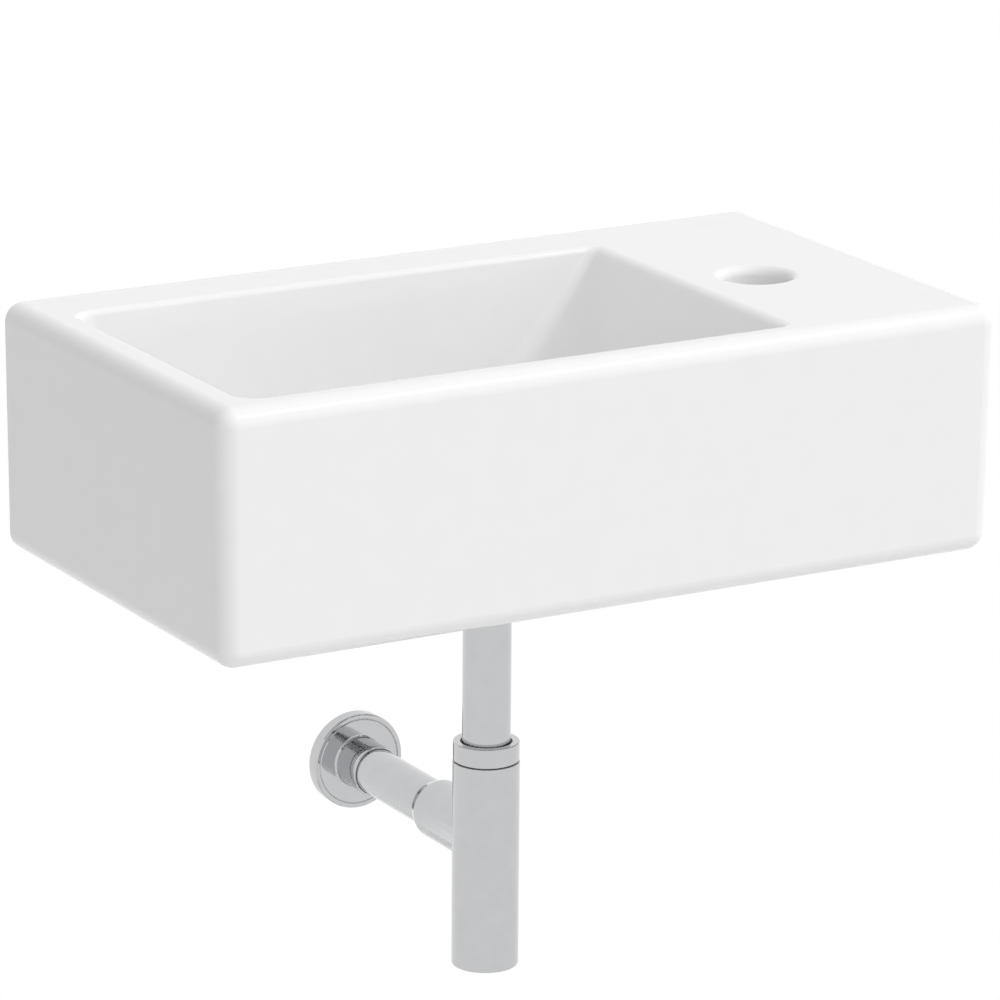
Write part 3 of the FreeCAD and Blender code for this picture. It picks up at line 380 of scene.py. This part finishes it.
def dress(piece, body, finish, slot, *nodes):
    """The piece gets its finish, rides on its body and stands for its nodes of the frame."""
    piece.data.materials.clear()
    piece.data.materials.append(finish)
    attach(piece, body)
    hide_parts(*nodes)


basin = china_outside()
combine(basin, combine(space_underneath(), bowl_outside()))
combine(basin, bowl_space())

bowl_floor = RIM - BOWL_DEPTH
recess_floor = bowl_floor - WASTE_RECESS_DEPTH
lip_turn = np.linspace(np.pi, np.pi / 2, 9)
recess_lip = np.stack([
    WASTE_RECESS_RADIUS + WASTE_RECESS_LIP * (1 + np.cos(lip_turn)),
    bowl_floor - WASTE_RECESS_LIP * (1 - np.sin(lip_turn))], axis=1)
waste_cutter = turned("waste_cutter", np.array([
    (0, bowl_floor - 2 * BOWL_WALL), (WASTE_HOLE_RADIUS, bowl_floor - 2 * BOWL_WALL),
    (WASTE_HOLE_RADIUS, recess_floor), (WASTE_RECESS_RADIUS, recess_floor),
    *recess_lip, (WASTE_RECESS_RADIUS + WASTE_RECESS_LIP, bowl_floor + 2 * FLOOR_ROUND),
    (0, bowl_floor + 2 * FLOOR_ROUND)]), (DRAIN_X, DRAIN_Y, 0))
combine(basin, waste_cutter)

tap_lip = np.stack([
    TAP_HOLE_RADIUS + TAP_HOLE_LIP * (1 + np.cos(lip_turn)),
    RIM - TAP_HOLE_LIP * (1 - np.sin(lip_turn))], axis=1)
tap_cutter = turned("tap_cutter", np.array([
    (0, RIM - 2 * DECK_THICKNESS), (TAP_HOLE_RADIUS, RIM - 2 * DECK_THICKNESS),
    *tap_lip, (TAP_HOLE_RADIUS + TAP_HOLE_LIP, RIM + DECK_THICKNESS),
    (0, RIM + DECK_THICKNESS)]), (RIGHT - TAP_HOLE_FROM_SIDE, WALL - TAP_HOLE_FROM_WALL, 0))
combine(basin, tap_cutter)

for side in (-1, 1):
    fixing_hole = turned("fixing_cutter", [
        (0, -2 * BACK_WALL), (FIXING_HOLE_RADIUS, -2 * BACK_WALL),
        (FIXING_HOLE_RADIUS, BACK_WALL), (0, BACK_WALL)],
        (side * FIXING_SPACING / 2, WALL, 0), (0, 1, 0), around=64)
    combine(basin, fixing_hole)

smoothed(basin)
dress(basin, "basin", vitreous_glaze(), "ceramic", "basin_body")


# ---- Waste ---------------------------------------------------------------------------------
# A chromed brass waste drops through the bowl on a soft ring. Below the bowl a rubber ring, a
# slip washer and a plain brass back nut clamp it to the china.

COPY_SHARP_ANGLE = 28


def chrome(name, low, high):
    """Bright chrome over nickel on polished brass: a cool mirror whose roughness varies a
    little from low to high, with a very slow waviness left by the buffing wheel."""
    finish, tree, place = new_finish(name)
    buffing = add_node(tree, "ShaderNodeTexNoise", sockets={
        "Vector": place, "Scale": per_mm(9), "Detail": 2.0})
    slow = add_node(tree, "ShaderNodeTexNoise", sockets={
        "Vector": place, "Scale": per_mm(26), "Detail": 0.0})
    polish = add_node(tree, "ShaderNodeMapRange", sockets={
        "Value": buffing.outputs["Fac"], "To Min": low, "To Max": high})
    tint = add_node(tree, "ShaderNodeMix", {"data_type": "RGBA"}, {
        "Factor": buffing.outputs["Fac"], 6: linear("#BFC0C2"), 7: linear("#C7C8CA")})
    relief = add_node(tree, "ShaderNodeBump", sockets={
        "Height": slow.outputs["Fac"], "Strength": 1.0, "Distance": 0.01 * MM})
    close_finish(tree, add_node(tree, "ShaderNodeBsdfPrincipled", sockets={
        "Base Color": tint.outputs[2], "Metallic": 1.0, "Roughness": polish.outputs[0],
        "Normal": relief.outputs[0]}))
    return finish


def merged_copy(node):
    """The frame's own shape of this node, its loose triangles joined into one surface."""
    piece = bpy.data.objects.new(node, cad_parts[node].data.copy())
    bpy.context.scene.collection.objects.link(piece)
    shape = bmesh.new()
    shape.from_mesh(piece.data)
    bmesh.ops.remove_doubles(shape, verts=shape.verts, dist=1e-6)
    shape.to_mesh(piece.data)
    shape.free()
    return smoothed(piece, COPY_SHARP_ANGLE)


def moulded(name, light, dark, roughness, grain_mm, relief_mm):
    """Moulded plastic or rubber: two close shades in soft blotches, and a fine grain."""
    finish, tree, place = new_finish(name)
    cloud = add_node(tree, "ShaderNodeTexNoise", sockets={
        "Vector": place, "Scale": per_mm(6), "Detail": 3.0})
    grain = add_node(tree, "ShaderNodeTexNoise", sockets={
        "Vector": place, "Scale": per_mm(grain_mm), "Detail": 2.0})
    colour = add_node(tree, "ShaderNodeMix", {"data_type": "RGBA"}, {
        "Factor": cloud.outputs["Fac"], 6: linear(dark), 7: linear(light)})
    relief = add_node(tree, "ShaderNodeBump", sockets={
        "Height": grain.outputs["Fac"], "Strength": 1.0, "Distance": relief_mm * MM})
    close_finish(tree, add_node(tree, "ShaderNodeBsdfPrincipled", sockets={
        "Base Color": colour.outputs[2], "Roughness": roughness,
        "Normal": relief.outputs[0]}))
    return finish


def machined_metal(name, light, dark, roughness, cut_mm, relief_mm):
    """Bare or plated metal off the lathe: fine tool lines and patches of two close shades."""
    finish, tree, place = new_finish(name)
    lines = add_node(tree, "ShaderNodeTexNoise", sockets={
        "Vector": place, "Scale": per_mm(cut_mm), "Detail": 2.0})
    patches = add_node(tree, "ShaderNodeTexNoise", sockets={
        "Vector": place, "Scale": per_mm(5), "Detail": 3.0})
    colour = add_node(tree, "ShaderNodeMix", {"data_type": "RGBA"}, {
        "Factor": patches.outputs["Fac"], 6: linear(dark), 7: linear(light)})
    spread = add_node(tree, "ShaderNodeMapRange", sockets={
        "Value": patches.outputs["Fac"], "To Min": roughness - 0.06,
        "To Max": roughness + 0.08})
    relief = add_node(tree, "ShaderNodeBump", sockets={
        "Height": lines.outputs["Fac"], "Strength": 1.0, "Distance": relief_mm * MM})
    close_finish(tree, add_node(tree, "ShaderNodeBsdfPrincipled", sockets={
        "Base Color": colour.outputs[2], "Metallic": 1.0, "Roughness": spread.outputs[0],
        "Normal": relief.outputs[0]}))
    return finish


mirror_chrome = chrome("mirror_chrome", low=0.035, high=0.075)
black_rubber = moulded("black_rubber", "#232324", "#1A1A1B", 0.62, 0.5, 0.012)
white_foam = moulded("white_foam", "#E6E4DF", "#D4D2CC", 0.9, 0.7, 0.08)
white_nylon = moulded("white_nylon", "#E9E8E3", "#DFDED8", 0.42, 1.2, 0.006)
grey_acetal = moulded("grey_acetal", "#8E9194", "#84878A", 0.38, 1.2, 0.006)
yellow_brass = machined_metal("yellow_brass", "#D9B76B", "#C7A256", 0.28, 0.4, 0.004)
bright_zinc = machined_metal("bright_zinc", "#C3C6CA", "#AFB3B8", 0.34, 0.5, 0.004)
spring_steel = machined_metal("spring_steel", "#A9ABAE", "#989A9E", 0.25, 0.3, 0.002)

dress(merged_copy("waste_body"), "basin", mirror_chrome, "chrome", "waste_body")
dress(merged_copy("waste_top_seal"), "basin", white_foam, "white_foam", "waste_top_seal")
dress(merged_copy("waste_lower_seal"), "basin", black_rubber, "black_rubber",
      "waste_lower_seal")
dress(merged_copy("waste_slip_washer"), "basin", white_nylon, "white_plastic",
      "waste_slip_washer")
dress(merged_copy("waste_backnut"), "basin", yellow_brass, "brass", "waste_backnut")


# ---- Plug ----------------------------------------------------------------------------------
# A push-push plug: a domed chrome cap and its rubber ring on a brass stem, which latches in a
# plastic barrel with a coil spring. The barrel hangs in the cross of the waste.

CAP_ROUND = 1.4
CAP_DOME = 0.9

cap_low, cap_high = (np.array(corner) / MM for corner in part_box("plug_cap"))
cap_radius = (cap_high[0] - cap_low[0]) / 2
cap_height = cap_high[2] - cap_low[2]


def domed_cap():
    """A flat disc whose top is a shallow dome: height falls with the square of the radius."""
    edge = cap_height - CAP_DOME
    rim_turn = np.linspace(0, np.pi / 2, 9)
    rim = np.stack([cap_radius - CAP_ROUND * (1 - np.cos(rim_turn)),
                    edge - CAP_ROUND * (1 - np.sin(rim_turn))], axis=1)
    across = np.linspace(cap_radius - CAP_ROUND, 0, 14)[1:]
    dome = np.stack([across, edge + CAP_DOME * (1 - (across / (cap_radius - CAP_ROUND)) ** 2)],
                    axis=1)
    return turned("plug_cap", [(0, 0), (cap_radius, 0), *rim, *dome],
                  (DRAIN_X, DRAIN_Y, cap_low[2]))


dress(smoothed(domed_cap()), "plug", mirror_chrome, "chrome", "plug_cap")
dress(merged_copy("plug_seal"), "plug", black_rubber, "black_rubber", "plug_seal")
dress(merged_copy("plug_stem"), "plug", yellow_brass, "brass", "plug_stem")
dress(merged_copy("plug_cartridge"), "basin", grey_acetal, "grey_plastic", "plug_cartridge")
dress(merged_copy("plug_spring"), "basin", spring_steel, "spring_steel", "plug_spring")


# ---- Inlet tube and its union --------------------------------------------------------------
# A chromed one inch tube hangs from the waste: a round union nut carries its flared collar on
# a slip ring, and a rubber washer seals it against the end of the waste.

TUBE_RADIUS = 12.7
TUBE_WALL = 1.0
UNION_FLOOR = 3.5
UNION_CHAMFER = 1.0
TUBE_COLLAR_THICKNESS = 2.0
LIP_TO_TUBE = 0.8
THREAD_RADIUS = 21.1

tube_low, tube_high = (np.array(corner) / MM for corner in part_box("inlet_tube"))
tube_collar_radius = (tube_high[0] - tube_low[0]) / 2
union_low, union_high = (np.array(corner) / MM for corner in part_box("union_nut"))
union_radius = (union_high[0] - union_low[0]) / 2
union_height = union_high[2] - union_low[2]
tube_length = tube_high[2] - tube_low[2]

tube = turned("inlet_tube", eased([
    (TUBE_RADIUS - TUBE_WALL, 0, 0.2), (TUBE_RADIUS, 0, 0.3),
    (TUBE_RADIUS, tube_length - TUBE_COLLAR_THICKNESS, 0.5),
    (tube_collar_radius, tube_length - TUBE_COLLAR_THICKNESS, 0.5),
    (tube_collar_radius, tube_length, 0.5), (TUBE_RADIUS - TUBE_WALL, tube_length, 0.6)], 4),
    (DRAIN_X, DRAIN_Y, tube_low[2]), around=192)
dress(smoothed(tube), "basin", mirror_chrome, "chrome", "inlet_tube")

union_nut = turned("union_nut", eased([
    (TUBE_RADIUS + LIP_TO_TUBE, 0, 0.3), (union_radius - UNION_CHAMFER, 0, 0.4),
    (union_radius, UNION_CHAMFER, 0.4), (union_radius, union_height - UNION_CHAMFER, 0.4),
    (union_radius - UNION_CHAMFER, union_height, 0.4), (THREAD_RADIUS, union_height, 0.3),
    (THREAD_RADIUS, UNION_FLOOR, 0), (TUBE_RADIUS + LIP_TO_TUBE, UNION_FLOOR, 0.3)], 4),
    (DRAIN_X, DRAIN_Y, union_low[2]), around=192)
dress(smoothed(union_nut), "union_nut", mirror_chrome, "chrome", "union_nut")
dress(merged_copy("union_washer"), "basin", black_rubber, "black_rubber", "union_washer")
dress(merged_copy("union_slip_ring"), "union_ring", white_nylon, "white_plastic",
      "union_slip_ring")


# ---- Bottle trap ---------------------------------------------------------------------------
# A cast and turned brass bottle, chromed all over, with its side branch in the same casting.
# A round nut with a slip ring and a rubber cone seals it on the tube; a screwed plug with a
# coin slot closes its bottom.

TRAP_ROUND = 0.8
TOP_NUT_ROUND = 0.6
TOP_NUT_PLATE = 2.5
TOP_NUT_GAP = 0.6
TOP_NUT_GAP_DEPTH = 1.2
NECK_HEIGHT = 5.9
NECK_RADIUS = 15.2
NECK_BORE = 13.1
NECK_TO_NUT = 0.15
NECK_SEAT = 1.5
NECK_THROAT = 3.0
CHAMBER_RADIUS = 15.6
CLEAN_BORE = 14.6
CLEAN_BORE_DEPTH = 10.0
BRANCH_RADIUS = 16.1
BRANCH_STRAIGHT = 48.5
BRANCH_REACH = 55.0
BRANCH_MOUTH = 13.8
BRANCH_SHOULDER_ROUND = 6.0
WATERWAY_RADIUS = 11.0
SOCKET_RADIUS = 12.8
SOCKET_START = 20.0
RING_GROOVES = (41.0, 46.5)
RING_GROOVE_WIDTH = 2.2
RING_GROOVE_RADIUS = 14.7

trap_low, trap_high = (np.array(corner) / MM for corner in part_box("trap_body"))
pipe_low, pipe_high = (np.array(corner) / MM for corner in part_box("outlet_pipe"))
nut_low, nut_high = (np.array(corner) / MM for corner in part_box("top_nut"))
trap_radius = (trap_high[0] - trap_low[0]) / 2
trap_top = trap_high[2] - trap_low[2]
shoulder = trap_top - NECK_HEIGHT
branch_height = (pipe_low[2] + pipe_high[2]) / 2
trap_foot = (DRAIN_X, DRAIN_Y, trap_low[2])
branch_foot = (DRAIN_X, DRAIN_Y, branch_height)


def trap_casting():
    """Bottle and branch joined, then bored: the chamber from below and the socket from the
    branch's mouth, with its two ring grooves."""
    bottle = turned("trap_body", eased([
        (0, 0, 0), (trap_radius, 0, TRAP_ROUND), (trap_radius, shoulder, 0.1),
        (NECK_RADIUS, shoulder, 0.2), (NECK_RADIUS, trap_top, 0.2), (0, trap_top, 0)], 6),
        trap_foot, around=240)
    branch = turned("trap_branch", eased([
        (0, 0, 0), (BRANCH_RADIUS, 0, 0), (BRANCH_RADIUS, BRANCH_STRAIGHT,
                                           BRANCH_SHOULDER_ROUND),
        (BRANCH_MOUTH, BRANCH_REACH, 0.5), (0, BRANCH_REACH, 0)], 12),
        branch_foot, (0, 1, 0), around=240)
    chamber = turned("trap_chamber", [
        (0, -1), (CLEAN_BORE, -1), (CLEAN_BORE, CLEAN_BORE_DEPTH),
        (CHAMBER_RADIUS, CLEAN_BORE_DEPTH), (CHAMBER_RADIUS, shoulder - 2 * NECK_THROAT),
        (NECK_BORE, shoulder - NECK_THROAT), (NECK_BORE, trap_top - NECK_SEAT),
        (NECK_BORE + NECK_SEAT, trap_top), (NECK_BORE + NECK_SEAT, trap_top + 1),
        (0, trap_top + 1)], trap_foot, around=240)
    half = RING_GROOVE_WIDTH / 2
    socket_outline = [(0, 0), (WATERWAY_RADIUS, 0), (WATERWAY_RADIUS, SOCKET_START),
                      (SOCKET_RADIUS, SOCKET_START)]
    for groove in RING_GROOVES:
        socket_outline += [(SOCKET_RADIUS, groove - half), (RING_GROOVE_RADIUS, groove - half),
                           (RING_GROOVE_RADIUS, groove + half), (SOCKET_RADIUS, groove + half)]
    socket_outline += [(SOCKET_RADIUS, BRANCH_REACH + 1), (0, BRANCH_REACH + 1)]
    socket = turned("trap_socket", socket_outline, branch_foot, (0, 1, 0), around=240)
    casting = combine(bottle, branch, "UNION")
    combine(casting, chamber)
    return combine(casting, socket)


trap = trap_casting()
dress(smoothed(trap), "trap", mirror_chrome, "chrome", "trap_body")

nut_radius = (nut_high[0] - nut_low[0]) / 2
nut_height = nut_high[2] - nut_low[2]
top_nut = turned("top_nut", eased([
    (NECK_RADIUS + NECK_TO_NUT, 0, 0.2), (nut_radius - TOP_NUT_GAP_DEPTH, 0, 0),
    (nut_radius - TOP_NUT_GAP_DEPTH, TOP_NUT_GAP, 0), (nut_radius, TOP_NUT_GAP, 0.1),
    (nut_radius, nut_height, TOP_NUT_ROUND), (TUBE_RADIUS + LIP_TO_TUBE, nut_height, 0.6),
    (TUBE_RADIUS + LIP_TO_TUBE, nut_height - TOP_NUT_PLATE, 0.2),
    (NECK_RADIUS + NECK_TO_NUT, nut_height - TOP_NUT_PLATE, 0)], 6),
    (DRAIN_X, DRAIN_Y, nut_low[2]), around=240)
dress(smoothed(top_nut), "top_nut", mirror_chrome, "chrome", "top_nut")
dress(merged_copy("top_slip_ring"), "top_ring", white_nylon, "white_plastic", "top_slip_ring")
dress(merged_copy("top_cone_seal"), "tube_seal", black_rubber, "black_rubber",
      "top_cone_seal")
dress(merged_copy("cleaning_plug"), "cleaning_plug", mirror_chrome, "chrome", "cleaning_plug")
dress(merged_copy("cleaning_ring"), "plug_ring", black_rubber, "black_rubber",
      "cleaning_ring")


# ---- Outlet pipe and wall flange -----------------------------------------------------------
# A chromed pipe pushes into the branch past two rubber rings and runs into the wall. A pressed
# and polished cover plate with a collar slides on it and hides the hole in the wall.

FLANGE_RIM = 3.0
FLANGE_PLATE = 2.0
FLANGE_ROUND = 1.2
FLANGE_THICKNESS = 7.5
SLEEVE_RADIUS = 13.9
SLEEVE_BORE = 12.8
SLEEVE_ROOT_ROUND = 1.4
SLEEVE_END_ROUND = 0.5
FLANGE_GROOVE_RADIUS = 23.6
FLANGE_GROOVE_WIDTH = 0.9
FLANGE_GROOVE_DEPTH = 0.4

flange_low, flange_high = (np.array(corner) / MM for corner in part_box("wall_flange"))
flange_radius = (flange_high[0] - flange_low[0]) / 2
sleeve_reach = -flange_low[1]

pipe = turned("outlet_pipe", eased([
    (TUBE_RADIUS - TUBE_WALL, 0, 0.2), (TUBE_RADIUS, 0, 0.3),
    (TUBE_RADIUS, pipe_high[1] - pipe_low[1], 0.3),
    (TUBE_RADIUS - TUBE_WALL, pipe_high[1] - pipe_low[1], 0.2)], 4),
    (DRAIN_X, pipe_low[1], branch_height), (0, 1, 0), around=192)
dress(smoothed(pipe), "outlet_pipe", mirror_chrome, "chrome", "outlet_pipe")
dress(merged_copy("outlet_rings"), "trap", black_rubber, "black_rubber", "outlet_rings")

flange = turned("wall_flange", eased([
    (flange_radius - FLANGE_RIM, 0, 0.2), (flange_radius, 0, 0.2),
    (flange_radius, FLANGE_THICKNESS, FLANGE_ROUND),
    (FLANGE_GROOVE_RADIUS + FLANGE_GROOVE_WIDTH / 2, FLANGE_THICKNESS, 0.2),
    (FLANGE_GROOVE_RADIUS, FLANGE_THICKNESS - FLANGE_GROOVE_DEPTH, 0.1),
    (FLANGE_GROOVE_RADIUS - FLANGE_GROOVE_WIDTH / 2, FLANGE_THICKNESS, 0.2),
    (SLEEVE_RADIUS, FLANGE_THICKNESS, SLEEVE_ROOT_ROUND),
    (SLEEVE_RADIUS, sleeve_reach, SLEEVE_END_ROUND), (SLEEVE_BORE, sleeve_reach, 0.3),
    (SLEEVE_BORE, FLANGE_THICKNESS - FLANGE_PLATE, 0),
    (flange_radius - FLANGE_RIM, FLANGE_THICKNESS - FLANGE_PLATE, 0.4)], 8),
    (DRAIN_X, WALL, branch_height), (0, -1, 0), around=240)
dress(smoothed(flange), "wall_flange", mirror_chrome, "chrome", "wall_flange")
dress(merged_copy("flange_grip_ring"), "wall_flange", black_rubber, "black_rubber",
      "flange_grip_ring")


# ---- Wall fixings --------------------------------------------------------------------------
# Two zinc-plated studs screwed into the wall carry the basin. Nylon bushes keep them off the
# china, with a steel washer and a hexagon nut on each.

dress(merged_copy("hanger_bolts"), "basin", bright_zinc, "zinc", "hanger_bolts")
dress(merged_copy("fixing_bushes"), "basin", white_nylon, "white_plastic", "fixing_bushes")
dress(merged_copy("fixing_washers"), "basin", bright_zinc, "zinc", "fixing_washers")
dress(merged_copy("fixing_nuts"), "basin", bright_zinc, "zinc", "fixing_nuts")


# ---- Studio --------------------------------------------------------------------------------
# A pale room with a white background, brighter from the upper right front, and one narrow soft
# box there. A pale round floor lies as far down as a real one. The room's levels go with the
# bearing in degrees, anticlockwise from the right, or with the height of the direction.

FLOOR_HEIGHT = -0.806
FLOOR_RADIUS = 0.95
FLOOR_THICKNESS = 0.005
FLOOR_FADE_START = 0.55
SOFT_BOX_FROM = (0.48, -0.45, 0.753)
SOFT_BOX_DISTANCE = 3.0
SOFT_BOX_SIZE = (1.5, 0.42)
SOFT_BOX_WATTS = 7.0
ROOM_BY_BEARING = [(-180, 0.36), (-167, 0.41), (-163, 0.87), (-40, 0.85), (32, 0.65),
                   (60, 0.58), (130, 0.60), (136, 0.30), (180, 0.36)]
BRIGHT_FROM = (0.62, -0.47, 0.628)
CEILING_DIM = 0.06
CEILING_BRIGHT = 2.4
CEILING_FACING_START = 0.25
ROOM_TO_HORIZON = (-0.14, 0.0)
HORIZON_TO_CEILING = (0.40, 0.60)
HORIZON_BY_BEARING = [(-180, 1.25), (-140, 1.00), (-100, 0.75), (0, 1.00), (40, 0.80),
                      (95, 0.55), (120, 0.42), (140, 0.90), (180, 1.25)]


def studio_world():
    """White where the camera looks past the object, and in what shiny or clear surfaces show.
    The rest of the light comes from a pale room whose brightness changes with its bearing
    round the object, and from a ceiling that brightens towards the upper right front."""
    world = bpy.data.worlds.new("studio")
    bpy.context.scene.world = world
    world.use_nodes = True
    tree = world.node_tree
    tree.nodes.clear()
    way = add_node(tree, "ShaderNodeTexCoord").outputs["Generated"]
    axes = add_node(tree, "ShaderNodeSeparateXYZ", sockets={"Vector": way})
    bearing = add_node(tree, "ShaderNodeMath", {"operation": "ARCTAN2"}, {
        0: axes.outputs["Y"], 1: axes.outputs["X"]})
    share = add_node(tree, "ShaderNodeMapRange", sockets={
        "Value": bearing.outputs[0], "From Min": -math.pi, "From Max": math.pi})
    bands = []
    for levels in (ROOM_BY_BEARING, HORIZON_BY_BEARING):
        band = add_node(tree, "ShaderNodeValToRGB", sockets={"Fac": share.outputs[0]})
        while len(band.color_ramp.elements) < len(levels):
            band.color_ramp.elements.new(0.5)
        for element, (degrees, level) in zip(band.color_ramp.elements, levels):
            element.position = (degrees + 180) / 360
            element.color = (level, level, level, 1)
        bands.append(band)
    facing = add_node(tree, "ShaderNodeVectorMath", {"operation": "DOT_PRODUCT"}, {
        0: way, 1: BRIGHT_FROM})
    ceiling = add_node(tree, "ShaderNodeMapRange", {"interpolation_type": "SMOOTHSTEP"}, {
        "Value": facing.outputs["Value"], "From Min": CEILING_FACING_START, "From Max": 1.0,
        "To Min": CEILING_DIM, "To Max": CEILING_BRIGHT})
    low = add_node(tree, "ShaderNodeMapRange", {"interpolation_type": "SMOOTHSTEP"}, {
        "Value": axes.outputs["Z"], "From Min": ROOM_TO_HORIZON[0],
        "From Max": ROOM_TO_HORIZON[1]})
    high = add_node(tree, "ShaderNodeMapRange", {"interpolation_type": "SMOOTHSTEP"}, {
        "Value": axes.outputs["Z"], "From Min": HORIZON_TO_CEILING[0],
        "From Max": HORIZON_TO_CEILING[1]})
    sides = add_node(tree, "ShaderNodeMix", {"data_type": "RGBA"}, {
        "Factor": low.outputs[0], 6: bands[0].outputs[0], 7: bands[1].outputs[0]})
    room = add_node(tree, "ShaderNodeMix", {"data_type": "RGBA"}, {
        "Factor": high.outputs[0], 6: sides.outputs[2], 7: ceiling.outputs[0]})
    sight = add_node(tree, "ShaderNodeLightPath")
    mirrored = add_node(tree, "ShaderNodeMath", {"operation": "MAXIMUM"}, {
        0: sight.outputs["Is Glossy Ray"], 1: sight.outputs["Is Transmission Ray"]})
    seen = add_node(tree, "ShaderNodeMath", {"operation": "MAXIMUM"}, {
        0: sight.outputs["Is Camera Ray"], 1: mirrored.outputs[0]})
    colour = add_node(tree, "ShaderNodeMix", {"data_type": "RGBA"}, {
        "Factor": seen.outputs[0], 6: room.outputs[2], 7: (1, 1, 1, 1)})
    light = add_node(tree, "ShaderNodeBackground", sockets={
        "Color": colour.outputs[2], "Strength": 1.0})
    add_node(tree, "ShaderNodeOutputWorld", sockets={"Surface": light.outputs[0]})


def floor_finish():
    """Pale painted floor, with a faint mottle, that thins out towards its rim."""
    finish, tree, place = new_finish("pale_floor")
    mottle = add_node(tree, "ShaderNodeTexNoise", sockets={
        "Vector": place, "Scale": per_mm(60), "Detail": 4.0})
    colour = add_node(tree, "ShaderNodeMix", {"data_type": "RGBA"}, {
        "Factor": mottle.outputs["Fac"], 6: linear("#F4F4F3"), 7: linear("#F8F8F7")})
    paint = add_node(tree, "ShaderNodeBsdfDiffuse", sockets={"Color": colour.outputs[2]})
    clear = add_node(tree, "ShaderNodeBsdfTransparent")
    level = add_node(tree, "ShaderNodeVectorMath", {"operation": "MULTIPLY"}, {
        0: place, 1: (1, 1, 0)})
    reach = add_node(tree, "ShaderNodeVectorMath", {"operation": "LENGTH"}, {
        0: level.outputs[0]})
    fade = add_node(tree, "ShaderNodeMapRange", {"interpolation_type": "SMOOTHSTEP"}, {
        "Value": reach.outputs["Value"], "From Min": FLOOR_FADE_START * FLOOR_RADIUS,
        "From Max": FLOOR_RADIUS})
    close_finish(tree, add_node(tree, "ShaderNodeMixShader", sockets={
        0: fade.outputs[0], 1: paint.outputs[0], 2: clear.outputs[0]}))
    return finish


studio_world()
floor = turned("floor", [
    (0, 0), (FLOOR_RADIUS / MM, 0), (FLOOR_RADIUS / MM, -FLOOR_THICKNESS / MM),
    (0, -FLOOR_THICKNESS / MM)], (0, 0, FLOOR_HEIGHT / MM), around=96)
floor.data.materials.append(floor_finish())

soft_box = bpy.data.lights.new("soft_box", "AREA")
soft_box.shape = "RECTANGLE"
soft_box.size, soft_box.size_y = SOFT_BOX_SIZE
soft_box.energy = SOFT_BOX_WATTS
soft_box_stand = bpy.data.objects.new("soft_box", soft_box)
bpy.context.scene.collection.objects.link(soft_box_stand)
towards = Vector(SOFT_BOX_FROM).normalized()
soft_box_stand.location = towards * SOFT_BOX_DISTANCE
soft_box_stand.rotation_mode = "QUATERNION"
soft_box_stand.rotation_quaternion = towards.to_track_quat("Z", "Y")


# ---- Camera --------------------------------------------------------------------------------
# It stands about three metres off, to the left of the basin and above it, on a long lens.

CAMERA_PLACE = (-1.46622, -2.67235, 0.78387)
CAMERA_BEARING = 29.892
CAMERA_DIP = 16.022
CAMERA_ROLL = 0.460
CAMERA_LENS = 212.56
CAMERA_SENSOR = 36

bearing, dip, roll = (math.radians(turn) for turn in (CAMERA_BEARING, CAMERA_DIP, CAMERA_ROLL))
ahead = Vector((math.sin(bearing) * math.cos(dip), math.cos(bearing) * math.cos(dip),
                -math.sin(dip)))
level_right = Vector((math.cos(bearing), -math.sin(bearing), 0))
level_up = level_right.cross(ahead)
right = math.cos(roll) * level_right + math.sin(roll) * level_up
up = math.cos(roll) * level_up - math.sin(roll) * level_right

camera = bpy.data.cameras.new("camera")
camera.lens = CAMERA_LENS
camera.sensor_width = CAMERA_SENSOR
camera_stand = bpy.data.objects.new("camera", camera)
bpy.context.scene.collection.objects.link(camera_stand)
camera_stand.matrix_world = (Matrix.Translation(CAMERA_PLACE)
                             @ Matrix((right, up, -ahead)).transposed().to_4x4())
bpy.context.scene.camera = camera_stand
bpy.context.scene.view_settings.view_transform = "Standard"
